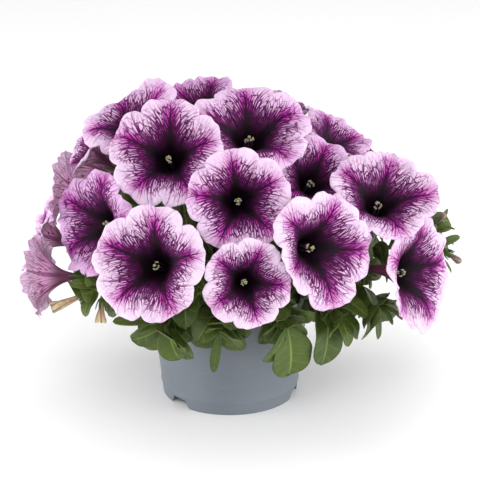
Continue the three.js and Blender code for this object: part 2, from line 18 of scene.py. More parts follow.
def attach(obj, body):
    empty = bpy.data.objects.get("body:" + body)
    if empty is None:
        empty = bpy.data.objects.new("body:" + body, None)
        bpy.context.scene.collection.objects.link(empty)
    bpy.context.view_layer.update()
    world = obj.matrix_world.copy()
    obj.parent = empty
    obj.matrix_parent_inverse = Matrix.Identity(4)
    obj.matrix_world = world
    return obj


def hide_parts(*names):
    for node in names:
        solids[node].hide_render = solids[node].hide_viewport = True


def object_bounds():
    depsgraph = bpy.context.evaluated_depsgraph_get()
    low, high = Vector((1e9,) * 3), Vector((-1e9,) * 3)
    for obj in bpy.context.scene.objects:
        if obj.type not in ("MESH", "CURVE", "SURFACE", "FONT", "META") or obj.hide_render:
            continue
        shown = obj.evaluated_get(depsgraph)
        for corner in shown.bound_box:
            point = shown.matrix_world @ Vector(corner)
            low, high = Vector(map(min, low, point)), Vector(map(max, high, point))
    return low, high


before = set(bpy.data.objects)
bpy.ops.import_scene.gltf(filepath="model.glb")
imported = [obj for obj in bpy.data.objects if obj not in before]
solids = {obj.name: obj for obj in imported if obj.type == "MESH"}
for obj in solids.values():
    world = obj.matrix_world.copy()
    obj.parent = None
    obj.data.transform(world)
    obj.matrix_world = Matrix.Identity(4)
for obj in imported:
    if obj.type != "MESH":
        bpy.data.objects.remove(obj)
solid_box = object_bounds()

print(len(solids), "plain solids stand in the frame")

# %% [markdown]
# ## Millimetres round the pot's axis
# A grower measures a plant from the middle of its pot, in millimetres. Blender counts in metres, and the
# frame's origin is under the middle of the whole plant, a little beside the pot. We could give every number
# in metres from there, but they would be hard to read. So all sizes below are millimetres from the foot of
# the pot's axis, and one small function brings them home.

# %% From the pot's axis to the frame
MM = 0.001
POT_AXIS = np.array([-8.0, 3.0, 0.0])


def home(points):
    """Millimetres from the foot of the pot's axis, as metres in the frame."""
    return (np.asarray(points, dtype=float).reshape(-1, 3) + POT_AXIS) * MM


print("the pot's axis stands at", home([0, 0, 0])[0].round(4).tolist())

# %% [markdown]
# ## From points to a piece
# A petal, a leaf or a stem is a sheet or a tube, and both are grids: rows of points with four-sided faces
# between them. Blender's grid and curve tools make such grids too, but a list of points of our own can be
# bent by any formula, and can carry numbers along for the finish. These helpers join grids into one mesh,
# keep the numbers with their points, and let the piece ride on the plant.

# %% Grids and patches
def crossed(first, second):
    """Every pair of two rows of numbers, as two grids."""
    return np.meshgrid(first, second, indexing="ij")


def grid_faces(rows, columns, closed=False):
    """The four-sided faces between the points of a grid; closed joins each row's end to its start."""
    last = columns if closed else columns - 1
    row, column = [part.ravel() for part in crossed(np.arange(rows - 1), np.arange(last))]
    this, after = row * columns, (column + 1) % columns
    above = this + columns
    return np.stack([this + column, this + after, above + after, above + column], axis=1)


def grid_patch(points, numbers, closed=False, flipped=False):
    """A grid of points with three numbers each, as a patch; flipped turns its faces over."""
    faces = grid_faces(*points.shape[:2], closed)
    numbers = np.stack(np.broadcast_arrays(*numbers), axis=-1)
    return points.reshape(-1, 3), faces[:, ::-1] if flipped else faces, numbers.reshape(-1, 3)


def join(patches):
    """Patches of (points, faces, numbers) as one patch."""
    points, faces, numbers = zip(*patches)
    starts = np.cumsum([0] + [len(part) for part in points])
    moved = [[corner + start for corner in face] for rows, start in zip(faces, starts) for face in rows]
    return np.vstack(points), moved, np.vstack(numbers)


# %% Pieces
def draws_for(name, seed):
    """Chance that is the same on every run, and another for each number at the end of a name."""
    return np.random.default_rng(seed + int(name[-2:]))


def make_piece(name, patch, finishes, stands_for=()):
    """A smooth mesh of a patch, with its numbers in the attribute named place."""
    points, faces, numbers = patch
    mesh = bpy.data.meshes.new(name)
    mesh.from_pydata(home(points).tolist(), [], [list(map(int, face)) for face in faces])
    mesh.attributes.new("place", "FLOAT_VECTOR", "POINT").data.foreach_set("vector", np.ravel(numbers))
    mesh.polygons.foreach_set("use_smooth", [True] * len(mesh.polygons))
    for finish in finishes:
        mesh.materials.append(finish)
    obj = bpy.data.objects.new(name, mesh)
    bpy.context.scene.collection.objects.link(obj)
    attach(obj, "root")
    if stands_for:
        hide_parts(*stands_for)
    return obj


def give_thickness(obj, thickness, back=0):
    """Makes a sheet as thick as the real one; back is how many finishes after the face's its back's is."""
    shell = obj.modifiers.new("thickness", "SOLIDIFY")
    shell.thickness = thickness * MM
    shell.offset = 0
    shell.material_offset = back


# %% [markdown]
# ## Finishes made of nodes
# Every finish here is worked out from the piece itself, with no pictures. Nodes can be placed and wired by
# hand in the shader editor. In a script that soon takes many lines. So a field stands here for what a node
# gives out: a number or a colour that changes from point to point. Fields can be added and multiplied as
# numbers can, and a few short helpers make new ones, so that a finish reads as a list of what the eye sees.

# %% Fields
class Field:
    """What a node gives out, ready to be reckoned with."""

    def __init__(self, tree, socket):
        self.tree, self.socket = tree, socket

    def calc(self, operation, *others):
        """The outcome of a Math node that starts from this field."""
        return field(self.tree, "Math", dict(enumerate((self, *others))), operation=operation)

    def __add__(self, other):
        return self.calc("ADD", other)

    def __sub__(self, other):
        return self.calc("SUBTRACT", other)

    def __rsub__(self, other):
        return field(self.tree, "Math", {0: other, 1: self}, operation="SUBTRACT")

    def __mul__(self, other):
        return self.calc("MULTIPLY", other)

    def __truediv__(self, other):
        return self.calc("DIVIDE", other)


def field(tree, kind, inputs, output=0, **settings):
    """A new node's output; its inputs are plain values or other fields."""
    node = tree.nodes.new("ShaderNode" + kind)
    for key, value in settings.items():
        setattr(node, key, value)
    for key, value in inputs.items():
        if isinstance(value, Field):
            tree.links.new(value.socket, node.inputs[key])
        else:
            node.inputs[key].default_value = value
    return Field(tree, node.outputs[output])


def combine(x, y, z):
    """Three numbers as one place; the first is a field."""
    return field(x.tree, "CombineXYZ", {0: x, 1: y, 2: z})


def numbers_of(tree):
    """The three numbers that a point carries in the attribute named place."""
    place = field(tree, "Attribute", {}, "Vector", attribute_name="place")
    return [field(tree, "SeparateXYZ", {0: place}, axis) for axis in range(3)]


# %% Helpers for finishes
def new_finish(name, **surface):
    """A material, its nodes and its shader, with the shader's own values set."""
    material = bpy.data.materials.new(name)
    material.use_nodes = True
    shader = material.node_tree.nodes["Principled BSDF"]
    for key, value in surface.items():
        shader.inputs[key.replace("_", " ")].default_value = value
    return material, material.node_tree, shader


def rise(value, low, high, start=0.0, end=1.0):
    """A soft step of a field between low and high."""
    inputs = {"Value": value, "From Min": low, "From Max": high, "To Min": start, "To Max": end}
    return field(value.tree, "MapRange", inputs, interpolation_type="SMOOTHSTEP")


def mix(share, first, second):
    """Two colours, mixed; the share is a field."""
    return field(share.tree, "Mix", {0: share, 6: first, 7: second}, 2, data_type="RGBA")


def noise(tree, scale, detail=3.0, at=None):
    """Cloudy noise, from 0 to 1; scale counts its clouds in a metre, or in a step of at."""
    at = at or field(tree, "TexCoord", {}, "Object")
    return field(tree, "TexNoise", {"Vector": at, "Scale": scale, "Detail": detail}, "Fac")


def streaks(tree, scales):
    """Noise with a scale of its own along each axis."""
    place = field(tree, "TexCoord", {}, "Object")
    return noise(tree, 1.0, at=field(tree, "Mapping", {"Vector": place, "Scale": scales}))


def paint(shader, value, socket="Base Color"):
    """Lets a field feed one of the shader's inputs."""
    value.tree.links.new(value.socket, shader.inputs[socket])


def emboss(shader, height, depth):
    """Relief of a height, for a shader; depth is in metres."""
    paint(shader, field(height.tree, "Bump", {"Height": height, "Distance": depth}), "Normal")


def ink(red, green, blue):
    return (red, green, blue, 1.0)

# %% [markdown]
# ## How each bloom looks out
# A florist would note four things for every bloom: where it is, which way it looks, how wide it opens and
# how its five lobes bend. One could scatter copies of one bloom by a rule, but then none would sit where the
# photograph has it. The plain model has a short line of such measures for each bloom, and we repeat them.

# %% The blooms' measures
# at: the middle of the limb. face: the way it looks, to the side and up, in degrees. across: its width.
# turn: how far the first lobe leans from upright. lobes: reach and forward bend, in per cent of the width.
# length: how long a bud or a withered bloom is. calyx: its calyx's size against a bloom's.
BLOOM_KEYS, HEAD_KEYS = ("at", "face", "across", "turn", "lobes"), ("at", "face", "length", "calyx")
EVEN = [(50, 0), (50, 2), (50, -2), (50, 1), (50, -1)]
CUPPED = [(48, 5), (50, -2), (48, 4), (51, -3), (48, 6)]
WAVED = [(50, -5), (47, 4), (51, -4), (49, 5), (50, 0)]


def with_keys(keys, rows):
    return {name: dict(zip(keys, row)) for name, row in rows.items()}


BLOOMS = with_keys(BLOOM_KEYS, {
    "bloom_01": ((-42, -78, 208), (-8, 36), 78, 0, EVEN),
    "bloom_02": ((7, -112, 186), (4, 24), 70, 9, EVEN),
    "bloom_03": ((15, -54, 220), (8, 56), 82, 2, [(46, -4), (52, -3), (50, 0), (50, -2), (52, -4)]),
    "bloom_04": ((-70, -8, 211), (-26, 58), 70, -24, [(54, 8), (40, -10), (52, -2), (46, -6), (50, 2)]),
    "bloom_05": ((-53, -128, 147.5), (-20, 26), 79, 1, EVEN),
    "bloom_06": ((-94, -80, 158), (-48, 16), 74, -2, WAVED),
    "bloom_07": ((12.5, -137, 137), (10, 16), 60, -24, EVEN),
    "bloom_08": ((62, -116, 153), (32, 14), 78, -30, [(48, 0), (52, -2), (40, 4), (54, 1), (54, -3)]),
    "bloom_09": ((60, -54, 183), (26, 44), 66, -36, EVEN),
    "bloom_10": ((104, -66, 175), (14, 54), 74, -26, [(46, 4), (50, 2), (50, -3), (48, -3), (54, 6)]),
    "bloom_11": ((132, -72, 118), (52, 8), 82, -18, [(50, -3), (50, 2), (44, 5), (54, -2), (50, -5)]),
    "bloom_12": ((-138, -6, 124), (-88, 20), 60, 0, WAVED),
    "bloom_13": ((-132, -66, 114), (-101, -4), 60, 12, CUPPED),
    "bloom_14": ((-118, -36, 168), (-100, 10), 56, 30, CUPPED),
    "bloom_15": ((-106, 14, 182), (-84, 34), 56, 10, EVEN),
    "bloom_16": ((-22, 14, 216), (-30, 60), 60, 0, WAVED),
    "bloom_17": ((-52, 62, 196), (-150, 48), 66, 15, EVEN),
    "bloom_18": ((30, 32, 208), (170, 60), 64, 0, CUPPED),
    "bloom_19": ((76, -2, 196), (70, 58), 58, 25, WAVED),
    "bloom_20": ((84, 60, 166), (140, 36), 68, 0, EVEN),
    "bloom_21": ((132, 14, 152), (88, 34), 62, 12, WAVED),
    "bloom_22": ((18, 92, 182), (176, 40), 72, 8, EVEN),
    "bloom_23": ((-104, 72, 154), (-126, 24), 70, 0, EVEN),
    "bloom_24": ((-52, 118, 146), (-156, 18), 72, 18, CUPPED),
    "bloom_25": ((16, 134, 134), (178, 14), 66, 0, EVEN),
    "bloom_26": ((84, 114, 128), (150, 12), 76, 9, WAVED),
    "bloom_27": ((138, 68, 120), (114, 12), 72, 0, EVEN),
})
BUDS = with_keys(HEAD_KEYS, {
    "bud_01": ((153, -17, 142), (60, 48), 12, 0.5),
    "bud_02": ((140, -24, 142), (-60, 60), 11, 0.5),
    "bud_03": ((165, -22, 107), (80, -34), 15, 0.6),
})
WITHERED_BLOOMS = with_keys(HEAD_KEYS, {
    "spent_01": ((-88, -86, 88), (-20, -80), 16, 0.6),
    "spent_02": ((-122, -86, 98), (-82, -22), 28, 0.7),
})
HEADS = {**BLOOMS, **BUDS, **WITHERED_BLOOMS}
TRUMPET_LENGTH = 0.6  # the length of a bloom's tube and throat, as a share of its width
print(len(BLOOMS), "blooms,", len(BUDS), "buds and", len(WITHERED_BLOOMS), "withered blooms")

# %% [markdown]
# ## A bloom's own axes
# To shape a trumpet it is easiest to stand in its mouth: out is the way it looks, up and right lie across
# it. Blender could turn a finished object into place instead. Working the points out in place keeps every
# piece at the frame's origin, so that nothing has to be applied later.

# %% Places on a head
def axes_of(head):
    side, lift = np.radians(head["face"])
    right = np.array([math.cos(side), math.sin(side), 0.0])
    out = np.array([math.sin(side) * math.cos(lift), -math.cos(side) * math.cos(lift), math.sin(lift)])
    return right, np.cross(out, right), out


def in_head(head, radius, angle, height):
    """Points of a head from their radius, angle (anticlockwise from upright) and height over the rim."""
    right, up, out = axes_of(head)
    radius, angle, height = [part[..., None] for part in np.broadcast_arrays(radius, angle, height)]
    return np.array(head["at"]) - radius * np.sin(angle) * right + radius * np.cos(angle) * up + height * out


def length_of(head):
    return head.get("length", TRUMPET_LENGTH * head.get("across", 0))


print("the longest trumpet is", max(length_of(bloom) for bloom in BLOOMS.values()), "mm long")

# %% [markdown]
# ## A smooth line through a few points
# Tubes, lips and buds have soft outlines that a few measures give well. A Bezier curve would need handles
# for each; a Catmull-Rom curve simply passes through the points, so its numbers can be read off the real
# thing.

# %% The smooth line
def turns_of(count):
    """Angles spread evenly round a circle."""
    return np.arange(count) * 2 * math.pi / count


def smooth_line(points, count):
    """A Catmull-Rom curve through the points, as count points spread evenly over its pieces."""
    points = np.array(points, dtype=float)
    padded = np.vstack([2 * points[0] - points[1], points, 2 * points[-1] - points[-2]])
    place = np.linspace(0, len(points) - 1, count)
    piece = np.minimum(place.astype(int), len(points) - 2)
    t = (place - piece)[:, None]
    a, b, c, d = [padded[piece + step] for step in range(4)]
    return b + 0.5 * t * (c - a + t * (2 * a - 5 * b + 4 * c - d + t * (3 * (b - c) + d - a)))


# %% [markdown]
# ## The corolla
# A petunia's five petals are grown together into one trumpet: a narrow tube, a throat and a flat limb with
# five round lobes. The sheet could be modelled from a disc with proportional editing, one bloom at a time.
# A formula gives all of them: the outline dips at the seams between the lobes, each lobe has a small dent at
# its tip and a shallow groove along its middle vein, and the margin waves a little, more in some blooms.

# %% The corolla's measures
LOBES = 5
AROUND = 240
TUBE = [(0.003, -0.6), (0.016, -0.592), (0.024, -0.56), (0.034, -0.47), (0.052, -0.37), (0.085, -0.28),
        (0.135, -0.2), (0.2, -0.125), (0.3, -0.05)]  # radius and height, as shares of the width
TUBE_RINGS = 26
LIMB_RINGS = 22
LIMB_START, LIMB_DROP = TUBE[-1]
SEAM_DIP, SEAM_POWER = 0.14, 6
TIP_DENT, TIP_POWER = 0.03, 5
LOBE_CURL = 0.03
GROOVE_DEPTH, GROOVE_WIDTH = 0.015, 0.08
SEAM_FOLD = 0.010
LOBE_SWELL = 0.016
EDGE_ROLL, ROLL_POWER = 0.022, 7
WAVE_COUNTS, WAVE_DEPTH = (4, 7, 12, 19, 31), (0.012, 0.009, 0.008, 0.006, 0.0035)
FRESH, LIMP = 1.0, 1.9
EDGE_COUNTS, EDGE_DEPTH = (13, 22, 37), (0.008, 0.007, 0.004)
FLATTEN, FLARE = 1.4, 1.3  # how the throat's dip dies away, and how the lobes' bend sets in
RELIEF_END = 1.35
print("a corolla has", AROUND, "points round each of its", TUBE_RINGS + LIMB_RINGS - 1, "rings")


# %% The margin and the lobes
def ripple(angle, counts, depths, draw):
    """A sum of waves round the bloom, each with a phase of its own."""
    return sum(depth * np.sin(count * angle + draw.uniform(0, 2 * math.pi))
               for count, depth in zip(counts, depths))


def lobe_place(angle):
    """Where on its lobe an angle lies: 0 at the middle vein, half at the seam."""
    place = angle * LOBES / (2 * math.pi)
    return np.abs(place - np.round(place))


def lobe_measures(bloom, angle):
    """Reach and forward bend at an angle, as shares of the width, eased from lobe to lobe."""
    place = angle * LOBES / (2 * math.pi)
    before = np.floor(place).astype(int)
    ease = (1 - np.cos(math.pi * (place - before))) / 2
    lobes = np.array(bloom["lobes"], dtype=float) / 100
    first, second = lobes[before % LOBES], lobes[(before + 1) % LOBES]
    return (first + (second - first) * ease[:, None]).T


def limpness(bloom):
    """How much the margin ruffles: more in blooms that are cupped or waved."""
    return LIMP if bloom["lobes"] in (CUPPED, WAVED) else FRESH


# %% The corolla's sheet
def corolla(bloom, number, draw):
    """The sheet of a corolla; its numbers are its place on a flat round map of the bloom, whose edge is one
    away from the middle, and the bloom's number."""
    angle = turns_of(AROUND)
    off_vein = lobe_place(angle)
    crest = (1 + np.cos(2 * math.pi * off_vein)) / 2
    reach, forward = lobe_measures(bloom, angle)
    edge = reach * (1 - SEAM_DIP * (2 * off_vein) ** SEAM_POWER - TIP_DENT * crest ** TIP_POWER)
    edge = edge * (1 + ripple(angle, EDGE_COUNTS, EDGE_DEPTH, draw))
    waves = ripple(angle, WAVE_COUNTS, WAVE_DEPTH, draw) * limpness(bloom)
    swell = LOBE_SWELL * np.sin(2 * math.pi * off_vein) ** 2
    groove = GROOVE_DEPTH * np.exp(-(off_vein / GROOVE_WIDTH) ** 2)
    fold = SEAM_FOLD * np.exp(-((0.5 - off_vein) / GROOVE_WIDTH) ** 2)
    rings = [(np.full(AROUND, radius), np.full(AROUND, height))
             for radius, height in smooth_line(TUBE, TUBE_RINGS)]
    for share in np.linspace(0, 1, LIMB_RINGS)[1:]:
        radius = LIMB_START + (edge - LIMB_START) * share
        flat = LIMB_DROP * (1 - share) ** FLATTEN + share ** FLARE * (forward - LOBE_CURL * crest)
        dip = (fold + swell - groove) * share * (RELIEF_END - share)
        roll = EDGE_ROLL * share ** ROLL_POWER * (1 - 0.5 * crest)
        rings.append((radius, flat + dip - roll + waves * share ** 2))
    radius, height = [np.array(part) for part in zip(*rings)]
    turned = math.radians(bloom["turn"]) + angle
    points = in_head(bloom, radius * bloom["across"], turned, height * bloom["across"])
    out = radius / edge
    numbers = out * np.cos(angle), out * np.sin(angle), float(number)
    return grid_patch(points, numbers, closed=True, flipped=True)


# %% [markdown]
# ## The petals' finish
# The throat is almost black. From it a dark star runs out along the five middle veins, and beyond the star
# the colour breaks up into purple veins on pale lilac, which thin out towards the margin. A painted picture
# would show one bloom only, and would blur close to. Instead every point of the sheet knows its place on a
# flat map of the bloom. From that place the nodes work out how far out it lies and how far from its lobe's
# middle vein, and draw the veins: strands that lean away from the middle vein as a feather's barbs do, each
# as long as chance makes it, and between them a net of long cells whose edges are the finest veins.

# %% A point's place on its bloom
LOBE_ARC = 2 * math.pi / LOBES
MEAN_EDGE = 0.47  # the bloom's radius as a share of its width, dips and dents evened out


def map_of(tree):
    """Where a point lies on its bloom: out, off the middle vein, which half lobe, and which bloom."""
    x, y, number = numbers_of(tree)
    out = field(tree, "VectorMath", {0: combine(x, y, 0.0)}, "Value", operation="LENGTH")
    lobe = y.calc("ARCTAN2", x) / LOBE_ARC
    return out, lobe.calc("PINGPONG", 0.5), (lobe * 2.0).calc("FLOOR"), number


def which_of(half, step):
    """The number of a half lobe's lobe, with a step of one, or of its seam, with none."""
    return ((half + step) / 2.0).calc("FLOOR").calc("FLOORED_MODULO", float(LOBES))


def chance_of(*numbers):
    """A random number from 0 to 1 that stays the same wherever the three numbers do."""
    return field(numbers[0].tree, "TexWhiteNoise", {"Vector": combine(*numbers)}, "Value")


# %% Helpers for veins
LEAN = 0.42  # how fast the veins lean away from the middle vein on their way out
NET_LAYERS = (5.3, 13.7)  # steps of the net from half lobe to half lobe, and from bloom to bloom
NET_WARP, NET_WARP_SCALE = 0.2, 0.7
DRIFT_SCALES, DRIFT_LAYER = (9.0, 7.0), 11.0
SHORTEST, LENGTH_POWER = 0.35, 1.4
HAIR_LINE = 0.00001


def vein_line(off, out, width):
    """One where a point is nearer to a vein than width, a share of the bloom's width."""
    away = off * (LOBE_ARC * MEAN_EDGE) * out
    return 1.0 - rise(away / width, 0.5, 1.0)


def net_edges(petal, cells, lean=LEAN):
    """Distance to the edge of the nearest cell, in a net whose cells lie along the veins."""
    out, off, half, number = petal
    across, along = cells
    layer = half * NET_LAYERS[0] + number * NET_LAYERS[1]
    where = combine((off - out * lean) * across, out * along, layer)
    soft = field(out.tree, "TexNoise", {"Vector": where, "Scale": NET_WARP_SCALE, "Detail": 2.0}, "Color")
    bent = field(out.tree, "MixRGB", {"Fac": NET_WARP, "Color1": where, "Color2": soft},
                 blend_type="LINEAR_LIGHT")
    return field(out.tree, "TexVoronoi", {"Vector": bent, "Scale": 1.0}, "Distance",
                 feature="DISTANCE_TO_EDGE")


def strands(petal, past, count, longest, width, wander):
    """Veins side by side, each with a reach of its own, that thin out to nothing at their ends."""
    out, off, half, number = petal
    drift_at = combine(off * DRIFT_SCALES[0], out * DRIFT_SCALES[1], half + number * DRIFT_LAYER)
    drift = (noise(out.tree, 1.0, 2.0, drift_at) - 0.5) * wander
    turns = (off - out * LEAN + drift) * count
    chance = chance_of(turns.calc("FLOOR"), half, number)
    aside = (turns.calc("FRACT") - 0.5).calc("ABSOLUTE") / count
    length = chance.calc("POWER", LENGTH_POWER) * (longest - SHORTEST) + SHORTEST
    left = rise(past / length, 0.0, 1.0, 1.0, 0.0)
    return vein_line(aside, out, (left * width).calc("MAXIMUM", HAIR_LINE))


# %% Where the veins run
STAR_REACH, STAR_BETWEEN, STAR_HALF = 0.50, 0.34, 0.30
NET_REACH, NET_BETWEEN = 1.16, 1.09
CLOUDS, CLOUD_DEPTH = 160.0, 0.06
REACH_VARY, REACH_SEED, SEAM_SEED = (-0.10, 0.06), 3.5, 0.5
WIDE_NET, CLOSE_NET = (18.0, 6.2), (34.0, 12.0)  # cells to a lobe, and from the middle to the edge
BOLD = {"count": 16.0, "longest": 1.25, "width": 0.0088, "wander": 0.05}
SLIM = {"count": 31.0, "longest": 1.4, "width": 0.0046, "wander": 0.03}
SLIM_SHARE = 0.75
MIDDLE_WIDTHS, SEAM_WIDTHS = (0.024, 0.006), (0.016, 0.005)  # near the throat, and near the margin
CREASES = (34.0, 4.0)  # wrinkles across a lobe, and along it


def past_star(petal):
    """How far past the star's edge a point lies: 0 at that edge, 1 where the net ends."""
    out, off, half, number = petal
    cloud = rise(noise(out.tree, CLOUDS), 0.25, 0.75, -CLOUD_DEPTH, CLOUD_DEPTH)
    lobe = rise(chance_of(which_of(half, 1.0), number, REACH_SEED), 0.0, 1.0, *REACH_VARY)
    star = rise(off, 0.0, STAR_HALF, STAR_REACH, STAR_BETWEEN) + cloud
    reach = rise(off, 0.0, 0.5, NET_REACH, NET_BETWEEN) + (cloud + lobe)
    return (out - star) / (reach - star)


def fine_veins(petal, past, close):
    """How strongly the net and the strands show at a point; close is the distance in the close net."""
    wide = net_edges(petal, WIDE_NET) - rise(past, -0.2, 1.1, 0.150, 0.01)
    close = close - rise(past, -0.1, 0.35, 0.14, -0.06)
    webbed = rise(wide, -0.02, 0.02, 1.0, 0.0).calc("MAXIMUM", rise(close, -0.06, 0.04, 0.85, 0.0))
    webbed = webbed * rise(past, 0.4, 0.95, 1.0, 0.0)
    slim = strands(petal, past, **SLIM) * SLIM_SHARE
    return webbed.calc("MAXIMUM", strands(petal, past, **BOLD)).calc("MAXIMUM", slim)


def strong_veins(petal):
    """How strongly the middle and seam veins show at a point."""
    out, off, half, number = petal
    middle = vein_line(off, out, rise(out, 0.30, 0.85, *MIDDLE_WIDTHS)) * rise(out, 0.80, 0.98, 1.0, 0.25)
    seam = vein_line(0.5 - off, out, rise(out, 0.3, 0.85, *SEAM_WIDTHS))
    seam = seam * rise(chance_of(which_of(half, 0.0), number, SEAM_SEED), 0.2, 0.9, 0.35, 1.0)
    return middle.calc("MAXIMUM", seam * rise(out, 0.6, 0.93, 1.0, 0.0))


def creases(petal):
    """Faint wrinkles that run outwards, as in thin crepe."""
    out, off, half, number = petal
    across, along = CREASES
    return noise(out.tree, 1.0, 3.0, combine(off * out * across, out * along, half + number))


# %% [markdown]
# ## The faces of the petals
# Layers make the face: the pale ground, a dark purple shade next to the star, a flush of magenta along the
# middle veins, the fine net, the strands, the strong middle and seam veins, and over them all the star, like
# velvet, and the black throat. The throat's black is partly its own colour and partly painted shade deep in
# the tube, and the star's slightly lighter velvet is partly a painted sheen. Each is a mask that fades
# outwards, so that they run into each other as they do in a real petal. The same veins are pressed lightly
# into the surface, and a little light passes through.

# %% The face finish
PALE, MARGIN = ink(0.65, 0.42, 0.66), ink(0.75, 0.60, 0.75)
FLUSH, SHADE = ink(0.50, 0.008, 0.38), ink(0.270, 0.011, 0.230)
DEEP, VEIN, VEIN_END = ink(0.022, 0.0010, 0.018), ink(0.095, 0.0016, 0.078), ink(0.31, 0.035, 0.26)
# The throat's near black is partly painted shade deep in the tube; the star's slightly lighter velvet is
# partly a painted sheen.
BLACK_AND_THROAT_SHADE, VELVET_AND_SHEEN = ink(0.0040, 0.0008, 0.0034), ink(0.0100, 0.0030, 0.0085)
PETAL_SURFACE = {"Subsurface_Weight": 0.1, "Subsurface_Scale": 0.0015}
VEIN_RELIEF = 0.0003


def petal_face():
    material, tree, shader = new_finish("petal_face", Specular_IOR_Level=0.14, **PETAL_SURFACE)
    petal = map_of(tree)
    out, off = petal[:2]
    past = past_star(petal)
    tone_and_shade = field(tree, "Attribute", {}, "Fac", attribute_name="tone_and_shade")  # how deep the bloom's colour is; for blooms 06 and 09 it is partly painted shade
    ground = mix(rise(out, 0.45, 0.95, 0.65, 1.0) * (1.0 - tone_and_shade), PALE, MARGIN)
    ground = mix(rise(past, 0.0, 0.35, 0.8, 0.0), ground, SHADE)
    ground = mix(rise(past, 0.2, 1.0, 1.0, 0.0) * rise(off, 0.04, 0.26, 1.0, 0.2), ground, FLUSH)
    close = net_edges(petal, CLOSE_NET)
    fine = fine_veins(petal, past, close)
    stroke = mix(rise(past, 0.35, 1.0), mix(rise(past, -0.1, 0.3), DEEP, VEIN), VEIN_END)
    colour = mix(fine, ground, stroke)
    colour = mix(strong_veins(petal), colour, mix(rise(out, 0.7, 1.0), DEEP, VEIN))
    dark = rise(past + close * 0.4, -0.16, 0.06, 1.0, 0.0)
    # the throat is painted darker than the star: partly painted shade deep in the tube, and the star's
    # lighter velvet is partly a painted sheen
    paint(shader, mix(dark, colour, mix(rise(out, 0.24, 0.36), BLACK_AND_THROAT_SHADE, VELVET_AND_SHEEN)))
    paint(shader, rise(dark, 0.0, 1.0, 0.62, 0.5), "Roughness")
    emboss(shader, noise(tree, 900.0) * 0.3 - fine * 0.5 + creases(petal) * 3.0, VEIN_RELIEF)
    return material


PETAL_FACE = petal_face()
print("the petals' face is made of", len(PETAL_FACE.node_tree.nodes), "nodes")

# %% [markdown]
# ## The backs of the petals
# The back is a duller lilac. Long purple veins run side by side from the tube to the margin, a broader one
# follows each middle vein, and the tube is brown-purple all over. A sheet with two finishes shows this best:
# Blender's Solidify gives the back of the sheet a finish of its own, which reads the same map.

# %% The back finish
BACK_PALE, BACK_DULL = ink(0.82, 0.62, 0.82), ink(0.74, 0.40, 0.66)
BACK_VEIN, TUBE_DARK = ink(0.150, 0.006, 0.090), ink(0.080, 0.016, 0.040)
LONG_NET, LONG_LEAN = (13.0, 2.6), 0.12
BROAD_WIDTHS = (0.03, 0.008)


def petal_back():
    material, tree, shader = new_finish("petal_back", Roughness=0.65, Specular_IOR_Level=0.25,
                                        **PETAL_SURFACE)
    petal = map_of(tree)
    out, off = petal[:2]
    past = past_star(petal)
    fine = fine_veins(petal, past, net_edges(petal, CLOSE_NET)) * rise(past, 0.0, 0.6, 0.1, 0.7)
    long_veins = rise(net_edges(petal, LONG_NET, LONG_LEAN), 0.03, 0.11, 1.0, 0.0)
    long_veins = long_veins * rise(out, 0.45, 1.0, 0.95, 0.25)
    broad = vein_line(off, out, rise(out, 0.3, 1.0, *BROAD_WIDTHS)) * 0.75
    colour = mix(rise(out, 0.35, 0.8), BACK_DULL, BACK_PALE)
    colour = mix(noise(tree, 120.0) * 0.3, colour, BACK_DULL)
    colour = mix(fine.calc("MAXIMUM", broad).calc("MAXIMUM", long_veins), colour, BACK_VEIN)
    paint(shader, mix(rise(out, 0.15, 0.42, 0.92, 0.0), colour, TUBE_DARK))
    emboss(shader, fine + noise(tree, 700.0) * 0.4 + creases(petal) * 2.0, VEIN_RELIEF)
    return material


PETAL_BACK = petal_back()
print("the petals' back is made of", len(PETAL_BACK.node_tree.nodes), "nodes")

# %% Grow the corollas
SHEET, GOLDEN = 0.35, 0.618
FRONT_TONES_AND_SHADE = (0.2, 0.3, 0.4, 0.4, 0.05, 0.9, 0.0, 0.15, 0.8, 0.15, 0.2)  # of the first blooms, in order; 06 and 09 are deep partly as painted shade, since other blooms shade them
for name, bloom in BLOOMS.items():
    number = int(name[-2:])
    sheet = corolla(bloom, number, draws_for(name, 0))
    petals = make_piece(name.replace("bloom", "petals"), sheet, [PETAL_FACE, PETAL_BACK], [name])
    # a bloom's tone: how deep its colour is, and for blooms 06 and 09 partly painted shade, because the
    # other blooms shade them
    tone_and_shade = FRONT_TONES_AND_SHADE[number - 1] if number <= len(FRONT_TONES_AND_SHADE) else (number * GOLDEN) % 1
    petals.data.attributes.new("tone_and_shade", "FLOAT", "POINT").data.foreach_set("value", [tone_and_shade] * len(sheet[0]))
    give_thickness(petals, SHEET, back=1)
print("grew", len(BLOOMS), "corollas of", len(sheet[0]), "points each")

# %% [markdown]
# ## Anthers and stigma
# Deep in the black throat sit five cream anthers, each of two plump halves on a thin filament, round a
# green stigma. They are tiny, but the eye goes straight to them. A particle system could hang copies there.
# Little balls and tubes made from the same ring formula are simpler, and stay in three meshes for each
# bloom, one for each finish.

# %% Balls and tubes
SIDE_HINT = (0.31, 0.87, 0.38)  # any way that no tube runs along


def ball(centre, size, count=8):
    """A closed ball stretched by size along three axes."""
    lift, turn = crossed(np.linspace(0, math.pi, count), turns_of(count))
    plain = np.stack([np.sin(lift) * np.cos(turn), np.sin(lift) * np.sin(turn), np.cos(lift)], axis=-1)
    return grid_patch(np.array(centre) + plain @ np.array(size), (0 * lift,) * 3, closed=True, flipped=True)


